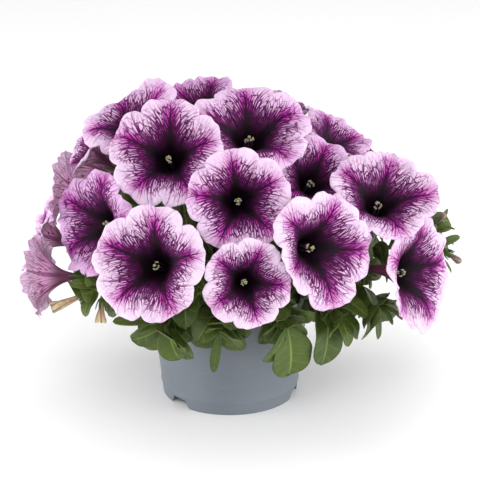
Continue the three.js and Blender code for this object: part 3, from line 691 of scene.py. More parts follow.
def tube(line, radii, sides=10):
    """A closed tube along a line of points; its numbers are the share of the way, the turn, the radius."""
    line, radii = np.asarray(line, dtype=float), np.broadcast_to(radii, len(line))
    along = np.gradient(line, axis=0)
    along /= np.linalg.norm(along, axis=1)[:, None]
    side = np.cross(along[0], SIDE_HINT)
    turns = turns_of(sides)
    rings = []
    for spot, ahead, radius in zip(line, along, radii):
        side = side - ahead * (side @ ahead)
        side /= np.linalg.norm(side)
        other = np.cross(ahead, side)
        rings.append(spot + radius * (np.cos(turns)[:, None] * side + np.sin(turns)[:, None] * other))
    share = np.repeat(np.linspace(0, 1, len(line)), sides)
    numbers = np.stack([share, np.tile(turns / (2 * math.pi), len(line)), np.repeat(radii, sides)], axis=1)
    ends = [list(range(sides))[::-1], list(range((len(line) - 1) * sides, len(line) * sides))]
    faces = [list(face) for face in grid_faces(len(line), sides, closed=True)] + ends
    return np.vstack(rings), faces, numbers


# %% The anthers' and stigma's finishes
def pollen_finish(name, pale, dark):
    material, tree, shader = new_finish(name, Roughness=0.8)
    paint(shader, mix(rise(noise(tree, 1500.0), 0.35, 0.65), dark, pale))
    emboss(shader, noise(tree, 4000.0), 0.0002)
    return material


STAMEN_FINISHES = {"anthers": pollen_finish("pollen", ink(0.52, 0.49, 0.38), ink(0.26, 0.23, 0.16)),
                   "stigma": pollen_finish("stigma", ink(0.33, 0.36, 0.10), ink(0.16, 0.19, 0.05)),
                   "filaments": pollen_finish("filament", ink(0.10, 0.035, 0.09), ink(0.03, 0.008, 0.025))}

# %% Anthers, filaments and stigma
ANTHERS = 5
ANTHER_DEPTH, ANTHER_SPREAD = 0.2, 0.034  # shares of the bloom's width
ANTHER_SWING, SPREADS, RISES = 0.45, (0.45, 1.1), (-2.5, 1.6)  # how much chance moves an anther
ANTHER_SIZE, ANTHER_HALF, ANTHER_LIFT = (0.7, 0.6, 1.1), 0.62, 0.5
STIGMA_SIZE, STIGMA_RISE, STIGMA_OFF, STIGMA_TURN = (1.25, 1.0, 0.6), 2.4, 0.35, 0.5
FILAMENT_RADIUS, FILAMENT_SIDES, FILAMENT_ROWS, STYLE_WIDER = 0.22, 6, 8, 1.2
FILAMENT_BEND, FILAMENT_START, STYLE_START = 0.8, 0.6, 0.1
FILAMENT_FOOT = -0.9  # how far down the trumpet, as a share of its length
ANTHER_SEED = 100


def anther_parts(bloom, draw):
    """Five anthers with their filaments, and the stigma with its style, as patches by finish."""
    axes = np.array(axes_of(bloom))
    across, foot = bloom["across"], FILAMENT_FOOT * length_of(bloom)
    pollen, threads = [], []
    for k in range(ANTHERS):
        angle = (k + draw.uniform(-ANTHER_SWING, ANTHER_SWING)) * 2 * math.pi / ANTHERS
        spread = ANTHER_SPREAD * across * draw.uniform(*SPREADS)
        height = -ANTHER_DEPTH * across + draw.uniform(*RISES)
        for side in (-1, 1):
            centre = in_head(bloom, spread, angle + side * ANTHER_HALF / spread, height + ANTHER_LIFT)
            pollen.append(ball(centre, np.array(ANTHER_SIZE)[:, None] * axes))
        way = zip((FILAMENT_START, spread * FILAMENT_BEND, spread), (foot, (foot + height) / 2, height))
        line = smooth_line([in_head(bloom, radius, angle, level) for radius, level in way], FILAMENT_ROWS)
        threads.append(tube(line, FILAMENT_RADIUS, FILAMENT_SIDES))
    top = in_head(bloom, STIGMA_OFF, STIGMA_TURN, -ANTHER_DEPTH * across + STIGMA_RISE)
    stigma = ball(top, np.array(STIGMA_SIZE)[:, None] * axes)
    style = [in_head(bloom, STYLE_START, STIGMA_TURN, foot), top]
    threads.append(tube(style, FILAMENT_RADIUS * STYLE_WIDER, FILAMENT_SIDES))
    return pollen, [stigma], threads


# %% Hang them in every bloom
for name, bloom in BLOOMS.items():
    draw = draws_for(name, ANTHER_SEED)
    for (kind, finish), patches in zip(STAMEN_FINISHES.items(), anther_parts(bloom, draw)):
        make_piece(name.replace("bloom", kind), join(patches), [finish])
print("set", ANTHERS * len(BLOOMS), "anthers")

# %% [markdown]
# ## How the stems run
# Each stem leaves the compost, rises and bends over to carry its bloom; side shoots leave it on the way.
# One could draw every stem as a Bezier curve object. The plain model has its stems on the same kind of
# curve, from a root and an end alone, so working them out again keeps the fine stem inside the plain one.

# %% The stems' measures
# root: where a stem leaves the compost. end: the head that it carries, or the point where it hangs.
# sides: the heads on its side shoots, with the share of the stem below each. grow: how many leaves grow by
# rule, the longest and the shortest. leaves: the share of the stem below a leaf, its tip, its width and, on
# a side shoot, the shoot's bud.
STEMS = with_keys(("root", "end", "sides", "grow", "leaves"), {
    "stem_01": ((4, -22), "bloom_07", {"bloom_02": 0.45}, (3, 40, 28), ()),
    "stem_02": ((-10, -20), "bloom_05", {"bloom_01": 0.4}, (3, 42, 28), ()),
    "stem_03": ((14, -18), "bloom_08", {"bloom_09": 0.45}, (3, 42, 28), ()),
    "stem_04": ((24, -10), "bloom_11", {"bloom_10": 0.5}, (3, 40, 28), ()),
    "stem_05": ((-20, -12), "bloom_06", {"bloom_04": 0.4}, (3, 40, 28), ()),
    "stem_06": ((2, -6), "bloom_03", {"bloom_16": 0.5}, (3, 36, 26), ()),
    "stem_07": ((-25, -4), "bloom_13", {"bloom_12": 0.5}, (3, 40, 28), ()),
    "stem_08": ((-24, 4), "bloom_14", {"bloom_15": 0.55}, (3, 36, 26), ()),
    "stem_09": ((24, 2), "bloom_21", {"bloom_19": 0.5}, (3, 38, 26), ()),
    "stem_10": ((6, 8), "bloom_18", {"bloom_22": 0.5}, (3, 38, 26), ()),
    "stem_11": ((-22, 13), "bloom_23", {"bloom_17": 0.5}, (3, 40, 28), ()),
    "stem_12": ((-9, 20), "bloom_24", {}, (3, 42, 28), ()),
    "stem_13": ((6, 24), "bloom_25", {}, (3, 42, 28), ()),
    "stem_14": ((16, 18), "bloom_26", {"bloom_20": 0.5}, (3, 42, 28), ()),
    "stem_15": ((24, 12), "bloom_27", {}, (3, 40, 28), ()),
    "stem_16": ((-20, -34), (-44, -84, 82), {}, (1, 34, 26), [
        (0.62, (-42, -76, 70), 27), (0.75, (-62, -84, 80), 14), (0.8, (-25, -76, 70), 20),
        (0.9, (-80, -82, 87), 9), (0.97, (-34, -90, 62), 22),
    ]),
    "stem_17": ((-3, -40), (-6, -88, 84), {}, (1, 34, 26), [
        (0.66, (-22, -90, 75), 22), (0.8, (8, -88, 76), 20), (0.99, (-11, -89, 52), 7),
    ]),
    "stem_18": ((19, -36), (40, -84, 84), {}, (1, 34, 26), [
        (0.55, (32, -99, 94), 22), (0.8, (28, -84, 86), 20), (0.88, (27, -80, 70), 16),
        (0.97, (41, -78, 45), 32),
    ]),
    "stem_19": ((32, -26), (74, -70, 88), {}, (1, 34, 26), [
        (0.6, (72, -80, 80), 22), (0.75, (96, -72, 86), 15), (0.82, (64, -73, 50), 28),
        (0.92, (83, -72, 64), 13), (0.99, (90, -58, 65), 13),
    ]),
    "stem_20": ((40, -20), (104, -54, 86), {}, (2, 30, 22), [
        (0.75, (99, -74, 96), 16), (0.9, (104, -60, 64), 9), (0.94, (114, -62, 76), 6),
        (0.97, (121, -60, 79), 5), (0.99, (115, -60, 90), 7),
    ]),
    "stem_21": ((-38, 14), (-86, 34, 84), {}, (4, 42, 30), ()),
    "stem_22": ((-16, 38), (-34, 84, 84), {}, (4, 44, 32), ()),
    "stem_23": ((24, 32), (48, 78, 84), {}, (4, 44, 32), ()),
    "stem_24": ((40, 8), (88, 22, 86), {}, (4, 42, 30), ()),
    "stem_25": ((20, -4), "bud_01", {"bud_02": 0.88, "bud_03": 0.7}, (0, 0, 0), [
        (0.93, (156, -3, 141), 5), (0.9, (160, -18, 131), 6), (0.82, (133, -10, 134), 5),
        (0.7, (158, -30, 124), 8, "bud_03"), (0.88, (164, -14, 124), 6, "bud_03"),
        (0.55, (157, -31, 103), 7, "bud_03"),
    ]),
    "stem_26": ((-25, -22), "spent_02", {"spent_01": 0.8}, (0, 0, 0), [
        (0.86, (-83, -94, 118), 11), (0.93, (-108, -92, 118), 9), (0.9, (-97, -94, 125), 9),
        (0.96, (-98, -90, 94), 10), (0.76, (-84, -94, 102), 9),
    ]),
})
SOIL_TOP = 87.0
STEM_DEPTH = 16.0
STEM_STEPS, SHOOT_STEPS = 6, 3  # the straight pieces of a plain stem and of a plain side shoot
# How far a stem keeps its first direction, and how much that leans outwards, per millimetre from the axis:
UPRIGHT, HANGING = (0.45, 0.022), (0.75, 0.006)
DROOP = 0.7
SHOOT_LEAVE, SHOOT_ARRIVE = 0.35, 0.4
CALYX = {"depth": 4.0, "cup": 4.1, "tipHeight": 13.0, "spread": 6.4}
SHEET_GAP = 1.1  # from the foot of a bloom's tube to the floor of its calyx
UP = np.array([0.0, 0.0, 1.0])


def unit(vector):
    return np.asarray(vector, dtype=float) / np.linalg.norm(vector)


# %% A curve to follow
CURVE_POINTS, SMALL = 201, 1e-4


class Run:
    """A cubic Bezier curve that is followed by the share of its length."""

    def __init__(self, *corners):
        self.corners = np.array(corners, dtype=float)
        self.times = np.linspace(0, 1, CURVE_POINTS)
        steps = np.linalg.norm(np.diff(self.bezier(self.times), axis=0), axis=1)
        self.lengths = np.concatenate([[0], np.cumsum(steps)])

    def bezier(self, t):
        t = np.atleast_1d(t)[:, None]
        a, b, c, d = self.corners
        return (1 - t) ** 3 * a + 3 * (1 - t) ** 2 * t * b + 3 * (1 - t) * t ** 2 * c + t ** 3 * d

    def time(self, share):
        return np.interp(np.asarray(share) * self.lengths[-1], self.lengths, self.times)

    def at(self, share):
        return self.bezier(self.time(share)).squeeze()

    def along(self, share):
        before, after = self.bezier(np.clip(self.time(share) + np.array([-SMALL, SMALL]), 0, 1))
        return unit(after - before)


# %% Let the stems run
def calyx_floor(head):
    return -length_of(head) - SHEET_GAP


def stem_run(stem):
    """The way of a stem; one that hangs over the pot's edge leaves it more upright and droops."""
    head = HEADS.get(stem["end"]) if isinstance(stem["end"], str) else None
    start = np.array([*stem["root"], SOIL_TOP - STEM_DEPTH])
    finish = in_head(head, 0, 0, calyx_floor(head)) if head else np.array(stem["end"], dtype=float)
    reach, lean = UPRIGHT if head else HANGING
    arrive = axes_of(head)[2] if head else unit(unit([finish[0], finish[1], 0]) - DROOP * UP)
    leave = unit([stem["root"][0] * lean, stem["root"][1] * lean, 1])
    span = np.linalg.norm(finish - start) * reach
    return Run(start, start + leave * span, finish - arrive * span, finish)


def on_pieces(run, share, steps):
    """A point on the straight pieces of the plain stem."""
    before = math.floor(share * steps) / steps
    first, second = run.at(before), run.at(min(before + 1 / steps, 1))
    return first + (second - first) * (share - before) * steps


def side_run(run, share, head):
    start, finish = on_pieces(run, share, STEM_STEPS), in_head(head, 0, 0, calyx_floor(head))
    span = np.linalg.norm(finish - start)
    leave, arrive = run.along(share) * span * SHOOT_LEAVE, axes_of(head)[2] * span * SHOOT_ARRIVE
    return Run(start, start + leave, finish - arrive, finish)


runs = {name: stem_run(stem) for name, stem in STEMS.items()}
side_runs = {name: {bud: side_run(runs[name], share, HEADS[bud]) for bud, share in stem["sides"].items()}
             for name, stem in STEMS.items()}
print(len(runs), "stems and", sum(map(len, side_runs.values())), "side shoots")

# %% [markdown]
# ## The leaves that the plain model has
# Most leaves grow by a rule: each one turns by the golden angle from the last, as on the real shoot, and a
# seeded draw varies it. In the plain model a leaf that would have touched a bloom was turned, or left out.
# Testing for that again would be long. The plain stems are in the frame, so each possible place of a leaf is
# looked up there: where the midrib of the rule's leaf lies inside the plain one, it grows.

# %% The leaves' rule
LEAF_WIDTH = 0.6
LEAF_ANGLE, LEAF_SAG, LEAF_ARCH, LEAF_FOLD = math.radians(58), 0.22, 0.12, 0.16
GROWTH = {"from": 0.4, "to": 0.9, "golden": 137.5, "swing": 60, "seed": 7, "shortest": 0.85, "vary": 0.3}
TURNS = (0, 45, -45, 90, -90, 140, -140)
ZERO_SIDE = np.array([0.6, 0.64, -0.48])
LEAF_UPRIGHT = 0.6
WORD, STRIDE = 0xFFFFFFFF, 0x6D2B79F5
MIDRIB_SPOTS, MIDRIB_NEAR = (0.45, 0.6, 0.75, 0.9), 1.3


def draws_from(seed):
    """Numbers between 0 and 1, the same draws that the plain model makes."""
    state = seed
    while True:
        state = (state + STRIDE) & WORD
        t = ((state ^ (state >> 15)) * (1 | state)) & WORD
        t ^= (t + (((t ^ (t >> 7)) * (61 | t)) & WORD)) & WORD
        yield (t ^ (t >> 14)) / (WORD + 1)


def turned(vector, axis, angle):
    """A vector turned about an axis."""
    return (vector * math.cos(angle) + np.cross(axis, vector) * math.sin(angle)
            + axis * (axis @ vector) * (1 - math.cos(angle)))


def rule_leaf(run, share, turn, length):
    base, ahead = on_pieces(run, share, STEM_STEPS), run.along(share)
    side = turned(unit(np.cross(ahead, ZERO_SIDE)), ahead, math.radians(turn))
    tip = base + length * (ahead * math.cos(LEAF_ANGLE) + side * math.sin(LEAF_ANGLE) - LEAF_SAG * UP)
    return {"base": base, "tip": tip, "width": length * LEAF_WIDTH, "up": ahead}


def listed_leaf(name, share, tip, width, bud=None):
    run, steps = (side_runs[name][bud], SHOOT_STEPS) if bud else (runs[name], STEM_STEPS)
    base = on_pieces(run, share, steps)
    return {"base": base, "tip": np.array(tip, dtype=float), "width": width,
            "up": unit([base[0], base[1], 0]) + LEAF_UPRIGHT * UP}


def leaf_axes(leaf):
    along = leaf["tip"] - leaf["base"]
    side = unit(np.cross(along, leaf["up"]))
    return along, side, unit(np.cross(side, along))


def on_midrib(leaf, share):
    along, _, face = leaf_axes(leaf)
    arch = 4 * share * (1 - share) * LEAF_ARCH * np.linalg.norm(along)
    return leaf["base"] + along * share + face * arch


# %% Looking up the plain solids
def tree_of(*names):
    """The plain solids' faces, ready to be searched."""
    points, faces = [], []
    for name in names:
        mesh, start = solids[name].data, len(points)
        points += [vertex.co.copy() for vertex in mesh.vertices]
        faces += [[corner + start for corner in polygon.vertices] for polygon in mesh.polygons]
    return BVHTree.FromPolygons(points, faces)


def is_grown(leaf, tree):
    """True if the plain stem has this leaf: its midrib runs within a sheet's thickness of it."""
    spots = [Vector(home(on_midrib(leaf, share))[0]) for share in MIDRIB_SPOTS]
    return all(tree.find_nearest(spot)[3] < MIDRIB_NEAR * MM for spot in spots)


# %% Find the plain model's leaves
leaves = {name: [] for name in STEMS}
draw = draws_from(GROWTH["seed"])
for name, stem in STEMS.items():
    tree = tree_of(name)
    options = [[listed_leaf(name, *leaf)] for leaf in stem["leaves"]]
    count, longest, shortest = stem["grow"]
    for i in range(count):
        climb = i / max(count - 1, 1)
        share = GROWTH["from"] + (GROWTH["to"] - GROWTH["from"]) * climb
        turn = i * GROWTH["golden"] + GROWTH["swing"] * next(draw)
        length = longest + (shortest - longest) * climb
        length = length * (GROWTH["shortest"] + GROWTH["vary"] * next(draw))
        options.append([rule_leaf(runs[name], share, turn + extra, length) for extra in TURNS])
    for choices in options:
        leaves[name] += [leaf for leaf in choices if is_grown(leaf, tree)][:1]
print(sum(map(len, leaves.values())), "leaves of the plain model found")

# %% [markdown]
# ## More leaves for a full plant
# The plain model has only as many leaves as it can carry. The real plant is leafier, with small leaves in
# every gap. They could be scattered at random, but a leaf that cuts through a petal looks wrong at once. So
# more leaves are tried by the same rule, higher and lower on each stem, and one is kept only where no bloom,
# bud, withered bloom, pot or compost is near it.

# %% Leaves in the gaps
EXTRA_TRIES = 27
EXTRA_SHARES, EXTRA_LENGTHS, EXTRA_SWING = (0.34, 0.98), (14.0, 29.0), 40.0
EXTRA_WIDTH = 1.25  # against a leaf of the plain model
EXTRA_ROOM, EXTRA_SEED = 2.2, 21
TESTED = ((0.35, 0.8), (0.55, 1.0), (0.75, 0.9), (1.0, 0.2))  # shares of the length, and of the width there
blooms_tree = tree_of("pot", "soil", *HEADS)


def has_room(leaf, tree):
    """True if the outer part of a leaf keeps clear of the blooms and the pot."""
    along, side, _ = leaf_axes(leaf)
    for share, breadth in TESTED:
        for across in (-0.5, 0, 0.5):
            spot = on_midrib(leaf, share) + side * across * leaf["width"] * breadth
            if tree.find_nearest(Vector(home(spot)[0]))[3] < EXTRA_ROOM * MM:
                return False
    start, way = Vector(home(leaf["base"])[0]), Vector(along * MM)
    return tree.ray_cast(start, way, way.length * 1.1)[0] is None


def inside_box(leaf):
    low, high = [np.array(corner) / MM - POT_AXIS for corner in solid_box]
    return bool(np.all(leaf["tip"] > low) and np.all(leaf["tip"] < high))


draw, extra = np.random.default_rng(EXTRA_SEED), 0
for name in STEMS:
    for i in range(EXTRA_TRIES):
        share, turn = draw.uniform(*EXTRA_SHARES), i * GROWTH["golden"] + draw.uniform(0, EXTRA_SWING)
        leaf = rule_leaf(runs[name], share, turn, draw.uniform(*EXTRA_LENGTHS))
        leaf["width"] *= EXTRA_WIDTH
        if has_room(leaf, blooms_tree) and inside_box(leaf):
            leaves[name].append(leaf)
            extra += 1
print(extra, "more leaves grow in the gaps")

# %% [markdown]
# ## A leaf
# A petunia's leaf is a soft oval with a smooth edge, a blunt tip and a short broad stalk. It folds a little
# along its midrib, arches over, and puckers between its side veins. A subdivided plane with a picture of a
# leaf is the quick way, but its edge stays straight from close to. Here the outline is one formula, and the
# rows of points bend with it.

# %% The leaf's sheet
LEAF_ROWS, LEAF_COLUMNS = 26, 15
STALK_SHARE, STALK_WIDTH = 0.13, 0.16
WIDEST, BLUNTNESS = 1.25, 0.44  # over 1 moves the widest place to the tip; under 1 makes the ends rounder
SIDE_VEINS, VEIN_SLANT, PUCKER = 6.0, 0.42, 0.018
LEAF_WAVE = ((0.02, 0.06), (7, 12), (0, 3))  # spans of the edge's wave: its depth, pitch and shift
LEAF_SHEET = 0.45


def flat_sheet(rows, columns):
    """Places on a flat sheet: the share of its length, and across it from -1 to 1."""
    return crossed(np.linspace(0, 1, rows), np.linspace(-1, 1, columns))


def leaf_outline(share):
    """Half the leaf's breadth at a share of its length, against its widest."""
    oval = np.sin(math.pi * np.clip(share, 0, 1) ** WIDEST) ** BLUNTNESS
    stalk = np.clip(share / STALK_SHARE, 0, 1)
    return np.maximum(oval * (0.35 + 0.65 * stalk), STALK_WIDTH * (1 - share) ** 0.25 * (share < 0.99))


def leaf_sheet(leaf, draw):
    """The sheet of a leaf; its numbers are the share of its length, the place across and the leaf's tint."""
    along, side, face = leaf_axes(leaf)
    length = np.linalg.norm(along)
    share, across = flat_sheet(LEAF_ROWS, LEAF_COLUMNS)
    off, half = np.abs(across), leaf_outline(share) * leaf["width"] / 2
    depth, pitch, shift = [draw.uniform(*span) for span in LEAF_WAVE]
    wave = depth * np.sin(share * pitch + np.sign(across) * shift)
    lift = 4 * share * (1 - share) * LEAF_ARCH * length + off * half * LEAF_FOLD
    lift = lift + wave * across ** 2 * leaf["width"]
    bulge = np.abs(np.sin(math.pi * SIDE_VEINS * (share - off * VEIN_SLANT / SIDE_VEINS * 2)))
    lift = lift + PUCKER * leaf["width"] * bulge * (1 - across ** 2) * off ** 0.5
    points = leaf["base"] + share[..., None] * along + (across * half)[..., None] * side
    return grid_patch(points + lift[..., None] * face, (share, across, draw.uniform(0, 1)))


# %% [markdown]
# ## Green finishes
# The upper face of a leaf is deep green with a paler midrib and fine pale side veins that slant forwards;
# the underside is lighter and greyer. Young leaves are yellower. The finish reads how far along and across
# the leaf a point lies, so that every leaf, whatever its size, gets its own veins in the right place.

# %% The leaves' finish
LEAF_DARK, LEAF_LIGHT = ink(0.040, 0.072, 0.009), ink(0.078, 0.118, 0.014)
LEAF_UNDER, RIB_PALE = ink(0.19, 0.26, 0.075), ink(0.22, 0.30, 0.07)


GREEN_SURFACE = {"Subsurface_Weight": 0.08, "Subsurface_Scale": 0.0015, "Specular_IOR_Level": 0.35}


def leaf_finish(name, dark, light, roughness):
    material, tree, shader = new_finish(name, Roughness=roughness, **GREEN_SURFACE)
    share, across, tint = numbers_of(tree)
    off = across.calc("ABSOLUTE")
    near = (share * SIDE_VEINS - off * (2 * VEIN_SLANT)).calc("PINGPONG", 0.5)
    side_veins = rise(near, 0.0, 0.07, 0.40, 0.0) * rise(off, 0.75, 1.0, 1.0, 0.0)
    veins = rise(off, 0.02, 0.09, 1.0, 0.0).calc("MAXIMUM", side_veins)
    blend = rise(noise(tree, 220.0), 0.3, 0.7) * 0.35 + tint * 0.65
    paint(shader, mix(veins * 0.62, mix(blend, dark, light), RIB_PALE))
    emboss(shader, noise(tree, 1400.0) * 0.5 - veins, 0.0003)
    return material


LEAF_FACE = leaf_finish("leaf_face", LEAF_DARK, LEAF_LIGHT, 0.42)
LEAF_BACK = leaf_finish("leaf_back", LEAF_LIGHT, LEAF_UNDER, 0.6)


# %% The finishes of stems and down
STEM_DEEP, STEM_PALE, STEM_BLUSH = ink(0.10, 0.16, 0.035), ink(0.20, 0.28, 0.075), ink(0.13, 0.06, 0.05)
DOWN_GREEN, DOWN_PALE = ink(0.36, 0.44, 0.22), ink(0.62, 0.66, 0.48)
STEM_STREAKS = (700.0, 700.0, 120.0)


def stem_finish():
    material, tree, shader = new_finish("stem_green", Roughness=0.5, Subsurface_Weight=0.1,
                                        Subsurface_Scale=0.001, Specular_IOR_Level=0.35)
    streaked = streaks(tree, STEM_STREAKS)
    colour = mix(rise(streaked, 0.35, 0.65), STEM_DEEP, STEM_PALE)
    paint(shader, mix(rise(noise(tree, 45.0), 0.55, 0.75, 0.0, 0.35), colour, STEM_BLUSH))
    emboss(shader, streaked, 0.0002)
    return material


def down_finish():
    material, tree, shader = new_finish("down", Roughness=0.5, Sheen_Weight=0.3)
    paint(shader, mix(noise(tree, 500.0), DOWN_GREEN, DOWN_PALE))
    return material


STEM_GREEN, DOWN = stem_finish(), down_finish()
print("a leaf's finish is made of", len(LEAF_FACE.node_tree.nodes), "nodes")

# %% [markdown]
# ## Stems, calyces and down
# A stem is round, a little thicker at its foot, and covered in short soft hairs. At its end sits the calyx:
# a small green cup that splits into five narrow sepals, which hold the foot of the trumpet. Blender's hair
# system would cover them with thousands of curves. A few hundred slim spikes a stem, each of three faces,
# show the same down from a step away and stay part of the mesh.

# %% Sepals
SEPAL_ROWS, SEPAL_COLUMNS = 9, 5
SEPAL_HALF, SEPAL_POINT = 1.55, 2.2  # half the width, and how late it narrows to its point
SEPAL_BOW, SEPAL_HOLLOW = 1.1, 0.25
CUP_ROWS, CUP_SIDES = 6, 20
CUP_FOOT, CUP_BELLY = (0.25, 0.0), (0.72, 0.3)  # shares of the cup's radius and of its depth
SEPAL_FOOT = (0.92, 0.55)  # where a sepal leaves the cup, in the same shares
SEPAL_SWING, SEPAL_LENGTHS, SEPAL_SPREADS = 0.08, (0.88, 1.08), (0.85, 1.2)
SEPAL_SLIM = 0.75  # how narrow the ends are against the middle
CUP_NUMBERS, SEPAL_TINT = 0.5, 0.6  # what the leaves' finish reads on them


def calyx(head, draw):
    """A cup and its five sepals, as one list of patches."""
    size = head.get("calyx", 1.0)
    floor = calyx_floor(head)
    depth, cup, tip_height, spread = [CALYX[key] * size for key in ("depth", "cup", "tipHeight", "spread")]
    line = smooth_line(np.array([CUP_FOOT, CUP_BELLY, (1, 1)]) * (cup, depth), CUP_ROWS)
    rings = in_head(head, line[:, :1], turns_of(CUP_SIDES), floor + line[:, 1:])
    patches = [grid_patch(rings, [np.full(rings.shape[:2], CUP_NUMBERS)] * 3, closed=True)]
    share, across = flat_sheet(SEPAL_ROWS, SEPAL_COLUMNS)
    start, foot = math.radians(head.get("turn", 0)), SEPAL_FOOT[1] * depth
    for k in range(LOBES):
        angle = start + (k + draw.uniform(-SEPAL_SWING, SEPAL_SWING)) * LOBE_ARC
        length = draw.uniform(*SEPAL_LENGTHS)
        half = SEPAL_HALF * size * (1 - share ** SEPAL_POINT) ** 0.5 * (SEPAL_SLIM + share * (1 - share))
        reach = (spread * draw.uniform(*SEPAL_SPREADS) - cup) * share
        radius = cup * SEPAL_FOOT[0] + reach + SEPAL_BOW * share * (1 - share)
        height = floor + foot + (tip_height - foot) * share * length
        sheet = in_head(head, radius - SEPAL_HOLLOW * across ** 2, angle + across * half / radius, height)
        patches.append(grid_patch(sheet, (share, across, SEPAL_TINT), flipped=True))
    return patches


# %% Down
HAIR_LENGTH, HAIR_FOOT, HAIR_LEAN = 0.95, 0.055, 0.25
HAIR_CORNERS = (0.0, 2.1, 4.2)  # angles round a hair's foot
HAIR_LENGTHS = (0.5, 1.0)


def down_on(points, middles, draw, count):
    """Slim three-sided spikes that stand away from the middles on some of the points."""
    picked = draw.integers(0, len(points), count)
    feet, away = points[picked], points[picked] - middles[picked]
    away /= np.linalg.norm(away, axis=1)[:, None]
    away += draw.normal(0, HAIR_LEAN, away.shape)
    side = np.cross(away, draw.normal(size=away.shape))
    side /= np.linalg.norm(side, axis=1)[:, None]
    other = np.cross(side, away)
    tips = feet + away * HAIR_LENGTH * draw.uniform(*HAIR_LENGTHS, count)[:, None]
    corners = [feet + HAIR_FOOT * (math.cos(a) * side + math.sin(a) * other) for a in HAIR_CORNERS]
    spikes = np.stack([*corners, tips], axis=1).reshape(-1, 3)
    sides = np.array([[0, 1, 3], [1, 2, 3], [2, 0, 3]])
    faces = (np.arange(count)[:, None, None] * 4 + sides).reshape(-1, 3)
    return spikes, faces, np.zeros((len(spikes), 3))


# %% Grow the stems
STEM_RADIUS, STEM_TIP, SHOOT_RADIUS, SHOOT_TIP = 1.75, 1.2, 1.15, 0.95
STEM_ROWS, SHOOT_ROWS, STEM_SIDES = 60, 30, 12
SWELLING, SWELLING_PITCH = 0.08, 19
HAIRS_A_STEM, STEM_SEED = 420, 300
CALYX_SHEET, CALYX_MIDDLE = 0.5, 5  # how thick it is, and how far over its floor its middle lies


def stem_tube(run, foot, tip, rows):
    """A tapered tube with slight, evenly spaced swellings along it."""
    share = np.linspace(0, 1, rows)
    radii = foot + (tip - foot) * share + SWELLING * foot * np.sin(share * SWELLING_PITCH) ** 6
    return tube(run.at(share), radii, sides=STEM_SIDES)


for name, stem in STEMS.items():
    draw = draws_for(name, STEM_SEED)
    tubes = [stem_tube(runs[name], STEM_RADIUS, STEM_TIP, STEM_ROWS)]
    tubes += [stem_tube(run, SHOOT_RADIUS, SHOOT_TIP, SHOOT_ROWS) for run in side_runs[name].values()]
    heads = [HEADS[head] for head in [stem["end"], *stem["sides"]] if isinstance(head, str)]
    make_piece(name + "_shoots", join(tubes), [STEM_GREEN], [name])
    rings = np.vstack([points.reshape(-1, STEM_SIDES, 3) for points, _, _ in tubes])
    middles = np.repeat(rings.mean(axis=1), STEM_SIDES, axis=0)
    down = [down_on(rings.reshape(-1, 3), middles, draw, HAIRS_A_STEM)]
    if heads:
        cups = join([patch for head in heads for patch in calyx(head, draw)])
        give_thickness(make_piece(name + "_calyx", cups, [LEAF_FACE]), CALYX_SHEET)
        centres = np.repeat([in_head(head, 0, 0, calyx_floor(head) + CALYX_MIDDLE) for head in heads],
                            len(cups[0]) // len(heads), axis=0)
        down.append(down_on(cups[0], centres, draw, HAIRS_A_STEM // 3 * len(heads)))
    make_piece(name + "_down", join(down), [DOWN])
    if leaves[name]:
        blades = make_piece(name + "_leaves", join([leaf_sheet(leaf, draw) for leaf in leaves[name]]),
                            [LEAF_FACE, LEAF_BACK])
        give_thickness(blades, LEAF_SHEET, back=1)
print("grew", len(STEMS), "stems with", HAIRS_A_STEM, "hairs or more on each")

# %% [markdown]
# ## Buds and withered blooms
# A closed bud is a bloom still rolled up: five dark pleats twist round it. A spent one has dried and
# crumpled to a straw-brown rag. Both could be sculpted. A turned outline with pleats, twist and creases
# worked in by formula gives each its own form.

# %% Turned and pleated forms
PLEAT_ROWS, PLEAT_SIDES, PLEAT_DEPTH = 24, 40, 0.14
CRUMPLE_COUNTS, CRUMPLE_SHARES, CRUMPLE_LIFT = (3, 7, 11), (1, 0.7, 0.5), 6
BUD_LINE = [(0.0, 0.2), (0.1, 1.0), (0.4, 1.6), (0.7, 2.3), (0.86, 2.35), (0.96, 1.2), (1.0, 0.15)]
WITHERED_LINE = [(0.0, 0.3), (0.1, 1.1), (0.4, 1.7), (0.7, 2.7), (0.88, 3.3), (0.97, 3.5)]


def pleated(head, line, twist, crumple, draw):
    """A turned form with five pleats; its numbers are the share of the length, the pleat and the radius."""
    share, radius = smooth_line(line, PLEAT_ROWS).T
    share, angle = crossed(share, turns_of(PLEAT_SIDES))
    fold = np.cos(LOBES * angle + twist * share)
    creased = ripple(angle + 2 * share, CRUMPLE_COUNTS, crumple * np.array(CRUMPLE_SHARES), draw)
    radius = radius[:, None] * (1 + PLEAT_DEPTH * fold * share + creased * share)
    height = (share - 1) * length_of(head) + crumple * CRUMPLE_LIFT * creased * share
    return grid_patch(in_head(head, radius, angle, height), (share, fold, radius), closed=True)


def pleat_finish(name, ground, dark, tip):
    material, tree, shader = new_finish(name, Roughness=0.7, Sheen_Weight=0.3)
    share, fold, _ = numbers_of(tree)
    colour = mix(rise(share, 0.35, 1.0), ground, tip)
    colour = mix(rise(fold, 0.2, 0.95, 0.0, 0.8), colour, dark)
    paint(shader, mix(rise(noise(tree, 400.0), 0.45, 0.7, 0.0, 0.5), colour, dark))
    emboss(shader, noise(tree, 900.0), 0.0004)
    return material


BUD_FINISH = pleat_finish("bud_skin", ink(0.10, 0.10, 0.035), ink(0.045, 0.015, 0.02), ink(0.30, 0.20, 0.16))
DRY_FINISH = pleat_finish("dry_petal", ink(0.42, 0.27, 0.14), ink(0.16, 0.075, 0.05), ink(0.66, 0.54, 0.33))

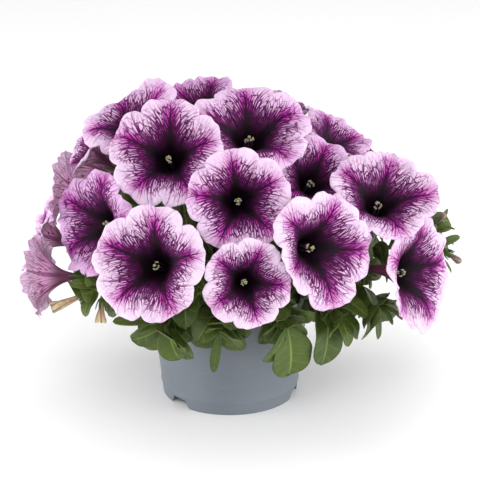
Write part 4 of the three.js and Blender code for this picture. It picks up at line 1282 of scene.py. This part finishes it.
# %% Close the buds and dry the spent blooms
BUD_TWIST, BUD_CRUMPLE = 5.0, 0.02
DRY_TWIST, DRY_CRUMPLE, RAG_SHEET = 3.0, 0.16, 0.3
PLEAT_SEED = 500
for name, head in {**BUDS, **WITHERED_BLOOMS}.items():
    draw = draws_for(name, PLEAT_SEED)
    if name in BUDS:
        form = pleated(head, BUD_LINE, BUD_TWIST, BUD_CRUMPLE, draw)
        make_piece(name + "_skin", form, [BUD_FINISH], [name])
    else:
        form = pleated(head, WITHERED_LINE, DRY_TWIST, DRY_CRUMPLE, draw)
        give_thickness(make_piece(name + "_rag", form, [DRY_FINISH], [name]), RAG_SHEET)
print("closed", len(BUDS), "buds and dried", len(WITHERED_BLOOMS), "blooms")

# %% [markdown]
# ## The nursery pot
# The pot is moulded in one go from thin grey plastic: a tapered wall with a faint step near the foot, a
# thicker lip, a raised floor with drain holes, and a foot ring cut by three slanted notches, so that water
# runs away. A cylinder with loops and a Screw modifier would do for the wall. The notches are why we turn
# the outline ourselves: wherever a notch is, the foot ring's points are lifted to its edge.

# %% The pot's form
POT_HEIGHT, POT_BASE, POT_MOUTH, POT_WALL = 95.0, 49.3, 60.0, 1.3
LIP_HEIGHT, LIP_OUT = 7.0, 2.2
FLOOR_Z, FLOOR_THICKNESS = 8.0, 1.5
NOTCHES, NOTCH_FIRST, NOTCH_WIDTH, NOTCH_TOP, NOTCH_HEIGHT = 3, -47.0, 22.0, 15.0, 6.5
DRAINS, DRAIN_RADIUS, DRAIN_CIRCLE = 6, 3.5, 30.0
STEP_Z, STEP_OUT = 9.5, 0.45
FOOT_LEVELS = (0.4, 2.0, 4.0, 6.5)  # rings that a notch can lift
WALL_LEVELS = (20.0, 40.0, 60.0, 80.0)
EDGE = 0.3  # how wide the bevel is at the foot and at the mouth
POT_SIDES = 288
CENTRE = 0.01  # the radius of the ring that closes a floor


def pot_radius(z):
    return POT_BASE + (POT_MOUTH - POT_BASE) * z / POT_HEIGHT


def notch_lift(angle):
    """How high the foot ring's edge is lifted at an angle from the front, in degrees."""
    pitch = 360 / NOTCHES
    off = np.abs((angle - NOTCH_FIRST + pitch / 2) % pitch - pitch / 2)
    slope = (NOTCH_WIDTH - NOTCH_TOP) / 2
    return NOTCH_HEIGHT * np.clip((NOTCH_WIDTH / 2 - off) / slope, 0, 1)


def pot_outline():
    """Pairs of (distance out from the wall's line, height), from the floor's underside round to its top."""
    top, lip_foot, inner = POT_HEIGHT, POT_HEIGHT - LIP_HEIGHT, -POT_WALL
    foot = [(inner, z) for z in (FLOOR_Z, *FOOT_LEVELS[::-1])] + [(inner + EDGE, 0.0), (-EDGE, 0.0)]
    wall = [(0.0, z) for z in (*FOOT_LEVELS, STEP_Z - 0.9, STEP_Z - 0.6)]
    wall += [(STEP_OUT, STEP_Z), (0.0, STEP_Z + 1.0)] + [(0.0, z) for z in WALL_LEVELS]
    lip = [(0.0, lip_foot - 0.8), (0.35, lip_foot - 0.1), (LIP_OUT - 0.4, lip_foot + 0.35)]
    lip += [(LIP_OUT, lip_foot + 1.0), (LIP_OUT, top - 0.8)]
    lip += [(LIP_OUT - 0.25, top - 0.25), (LIP_OUT - 0.8, top)]
    inside = [(inner + EDGE, top)] + [(inner, z) for z in (top - 0.4, 60.0, 30.0, FLOOR_Z + FLOOR_THICKNESS)]
    return foot + wall + lip + inside


def turn_rings(rings):
    """Points and faces of rings of (radius, height), either of which may differ with the angle."""
    angle = turns_of(POT_SIDES)
    points = [np.stack([radius * np.sin(angle), -radius * np.cos(angle), height + 0 * angle], axis=1)
              for radius, height in rings]
    return np.vstack(points), grid_faces(len(rings), POT_SIDES, closed=True)


def make_pot_form():
    lift, floor_top = notch_lift(np.degrees(turns_of(POT_SIDES))), FLOOR_Z + FLOOR_THICKNESS
    rings = [(CENTRE, FLOOR_Z), (DRAIN_CIRCLE, FLOOR_Z)]
    for out, z in pot_outline():
        height = np.maximum(z, lift) if z < FLOOR_Z else z
        rings.append((pot_radius(height) + out, height))
    points, faces = turn_rings(rings + [(DRAIN_CIRCLE, floor_top), (CENTRE, floor_top)])
    ends = [list(range(POT_SIDES))[::-1], list(range(len(points) - POT_SIDES, len(points)))]
    return points, [*map(list, faces), *ends], np.zeros(points.shape)


# %% The pot's finish
POT_DARK, POT_LIGHT, POT_SCUFF = ink(0.134, 0.153, 0.181), ink(0.156, 0.178, 0.206), ink(0.33, 0.36, 0.40)
SCUFF_SCALES = (60.0, 60.0, 900.0)  # thin level lines, as from stacked pots


def pot_finish():
    material, tree, shader = new_finish("pot_plastic")
    cloud = rise(noise(tree, 18.0), 0.3, 0.7)
    scuffs = rise(streaks(tree, SCUFF_SCALES), 0.62, 0.78, 0.0, 0.25)
    paint(shader, mix(scuffs, mix(cloud, POT_DARK, POT_LIGHT), POT_SCUFF))
    paint(shader, rise(cloud, 0.0, 1.0, 0.42, 0.55), "Roughness")
    emboss(shader, noise(tree, 2600.0, 2.0), 0.00006)
    return material


# %% Mould the pot
DRILL_SIDES, DRILL_SPARE = 24, 2
SHARP = math.radians(35)


def drill(obj, centres, radius, low, high):
    """Bores round holes through a piece, from one height to another."""
    shape = bmesh.new()
    for centre in centres:
        made = bmesh.ops.create_cone(shape, cap_ends=True, segments=DRILL_SIDES, radius1=radius * MM,
                                     radius2=radius * MM, depth=(high - low) * MM)
        bmesh.ops.translate(shape, verts=made["verts"], vec=home([*centre, (low + high) / 2])[0])
    mesh = bpy.data.meshes.new("drill")
    shape.to_mesh(mesh)
    shape.free()
    tool = bpy.data.objects.new("drill", mesh)
    bpy.context.scene.collection.objects.link(tool)
    cut = obj.modifiers.new("holes", "BOOLEAN")
    cut.object = tool
    cut.solver = "EXACT"
    bored = bpy.data.meshes.new_from_object(obj.evaluated_get(bpy.context.evaluated_depsgraph_get()))
    obj.modifiers.clear()
    obj.data = bored
    bpy.data.objects.remove(tool)


pot = make_piece("pot_shell", make_pot_form(), [pot_finish()], ["pot"])
drains = [(DRAIN_CIRCLE * math.cos(a), DRAIN_CIRCLE * math.sin(a)) for a in turns_of(DRAINS)]
drill(pot, drains, DRAIN_RADIUS, FLOOR_Z - DRILL_SPARE, FLOOR_Z + FLOOR_THICKNESS + DRILL_SPARE)
pot.data.set_sharp_from_angle(angle=SHARP)
print("the pot has", len(pot.data.polygons), "faces and is", POT_HEIGHT, "mm high")

# %% [markdown]
# ## The compost
# Between the stems a little compost shows: dark, damp and crumbly, with bits of bark and white perlite. A
# displaced disc alone looks like cloth. So the surface is rough on two scales, and loose crumbs lie on it.

# %% The compost's form and finish
SOIL_EDGE_Z, SOIL_SHARE, SOIL_GAP = 84.0, 0.85, 0.35
SOIL_EDGE = pot_radius(SOIL_EDGE_Z) - POT_WALL - SOIL_GAP
SOIL_RINGS, SOIL_SIDE_LEVELS = 46, (60.0, 30.0)
SOIL_BUMPS, SOIL_PITCHES, SOIL_WAVES, SOIL_CREST = (1.3, 0.5), (7.0, 2.6), 6, 1.6


def soil_level(radius):
    """The level of the compost's top at a radius: flat, and lower at the pot's wall."""
    slope = np.clip((radius / SOIL_EDGE - SOIL_SHARE) / (1 - SOIL_SHARE), 0, 1)
    return SOIL_TOP - (SOIL_TOP - SOIL_EDGE_Z) * slope


def bumps(points, draw):
    """Rough relief from crossed waves of two lengths."""
    relief = np.zeros(len(points))
    for size, pitch in zip(SOIL_BUMPS, SOIL_PITCHES):
        for _ in range(SOIL_WAVES):
            way = draw.normal(size=2)
            wave = points[:, :2] @ (way / np.linalg.norm(way)) * 2 * math.pi / pitch
            relief += size / 4 * np.sin(wave + draw.uniform(0, 2 * math.pi))
    return relief


def make_soil_form(draw):
    bottom = FLOOR_Z + FLOOR_THICKNESS + SOIL_GAP
    rings = [(radius, soil_level(radius)) for radius in np.linspace(CENTRE, SOIL_EDGE, SOIL_RINGS)]
    rings += [(pot_radius(z) - POT_WALL - SOIL_GAP, z) for z in (*SOIL_SIDE_LEVELS, bottom)]
    points, faces = turn_rings(rings + [(CENTRE, bottom)])
    top = SOIL_RINGS * POT_SIDES
    points[:top, 2] += np.minimum(bumps(points[:top], draw), SOIL_CREST)
    return points, faces[:, ::-1], np.zeros(points.shape)


def soil_finish(name, dark, light):
    material, tree, shader = new_finish(name, Roughness=0.95)
    crumbly = noise(tree, 420.0, 6.0)
    paint(shader, mix(rise(crumbly, 0.35, 0.7), dark, light))
    emboss(shader, crumbly, 0.0012)
    return material


# %% Crumbs and perlite
CRUMBS, CRUMB_SIZES = 900, (0.5, 1.7)
PERLITE, PERLITE_SIZES = 45, (0.7, 1.3)
STREWN, LUMP_COUNT, LUMP_SKEW, LUMP_RISE = 55, 6, 0.12, 0.5
SOIL_SEED = 77


def scatter(count, sizes, draw):
    """Small uneven lumps that lie on the compost."""
    lumps = []
    for _ in range(count):
        radius, angle = STREWN * math.sqrt(draw.uniform(0.01, 1)), draw.uniform(0, 2 * math.pi)
        size = draw.uniform(*sizes) * draw.uniform(0.6, 1.1, 3)
        spot = (radius * math.cos(angle), radius * math.sin(angle), soil_level(radius) + LUMP_RISE)
        lumps.append(ball(spot, np.diag(size) + draw.normal(0, LUMP_SKEW, (3, 3)), LUMP_COUNT))
    return join(lumps)


draw = np.random.default_rng(SOIL_SEED)
SOIL_DARK = soil_finish("compost", ink(0.012, 0.007, 0.004), ink(0.065, 0.038, 0.022))
make_piece("compost_bed", make_soil_form(draw), [SOIL_DARK], ["soil"])
make_piece("compost_crumbs", scatter(CRUMBS, CRUMB_SIZES, draw), [SOIL_DARK])
PERLITE_WHITE = soil_finish("perlite", ink(0.36, 0.34, 0.30), ink(0.72, 0.70, 0.66))
make_piece("compost_perlite", scatter(PERLITE, PERLITE_SIZES, draw), [PERLITE_WHITE])
print("strewed", CRUMBS, "crumbs and", PERLITE, "grains of perlite")

# %% [markdown]
# ## Floor, light and camera
# The photograph was taken in a studio: white all round, with hardly a shadow. A sun lamp would give hard
# ones; large area lamps wrap round the petals as soft boxes do. One stands in front and above, a strong one
# at the right, and weak ones at the left, above, and low beside the pot. A white world keeps the shadows
# open. The camera looks down a little from the front, from far away, through a long lens.

# %% The pale floor
FLOOR_SIZE = 6.0
bpy.ops.mesh.primitive_plane_add(size=FLOOR_SIZE)
floor = bpy.context.object
floor.name = "studio_floor"
paper, paper_tree, paper_shader = new_finish("studio_paper", Roughness=0.9)
paint(paper_shader, mix(noise(paper_tree, 3.0), ink(0.91, 0.91, 0.91), ink(0.94, 0.94, 0.94)))
floor.data.materials.append(paper)


# %% Soft boxes
def soft_box(name, spot, aim, size, power):
    """A square lamp, in metres and watts."""
    light = bpy.data.lights.new(name, "AREA")
    light.size, light.energy = size, power
    lamp = bpy.data.objects.new(name, light)
    lamp.location = spot
    lamp.rotation_euler = (Vector(aim) - Vector(spot)).to_track_quat("-Z", "Y").to_euler()
    bpy.context.scene.collection.objects.link(lamp)


PLANT_MIDDLE, POT_MIDDLE = (0.0, 0.0, 0.13), (0.0, 0.0, 0.05)
soft_box("key_box", (-0.1, -1.5, 1.1), PLANT_MIDDLE, 0.8, 11.5)
soft_box("left_box", (-1.3, 0.25, 0.3), PLANT_MIDDLE, 0.9, 3.5)
soft_box("right_box", (1.4, -0.35, 0.5), PLANT_MIDDLE, 0.9, 13.0)
soft_box("low_box", (-0.6, -0.1, 0.1), POT_MIDDLE, 0.25, 1.6)
soft_box("top_box", (0.1, 0.5, 1.6), PLANT_MIDDLE, 1.0, 4.0)

# %% The white room
WORLD_STRENGTH = 0.84
bpy.context.scene.view_settings.view_transform = "Standard"
world = bpy.data.worlds.new("studio")
world.use_nodes = True
background = world.node_tree.nodes["Background"]
background.inputs["Color"].default_value = ink(1.0, 1.0, 1.0)
background.inputs["Strength"].default_value = WORLD_STRENGTH
bpy.context.scene.world = world

# %% The camera
CAMERA_AIM = np.array([7.4, 0.0, 116.0])
CAMERA_DISTANCE = 1400.0
CAMERA_PITCH = math.radians(20.6)
CAMERA_LENS = 145.65
camera = bpy.data.objects.new("studio_camera", bpy.data.cameras.new("studio_camera"))
back = np.array([0.0, -math.cos(CAMERA_PITCH), math.sin(CAMERA_PITCH)])
camera.location = home(CAMERA_AIM + CAMERA_DISTANCE * back)[0]
camera.rotation_euler = Vector(-back).to_track_quat("-Z", "Y").to_euler()
camera.data.lens = CAMERA_LENS
bpy.context.scene.collection.objects.link(camera)
bpy.context.scene.camera = camera
print("the camera stands", round(camera.location.length, 2), "m away")
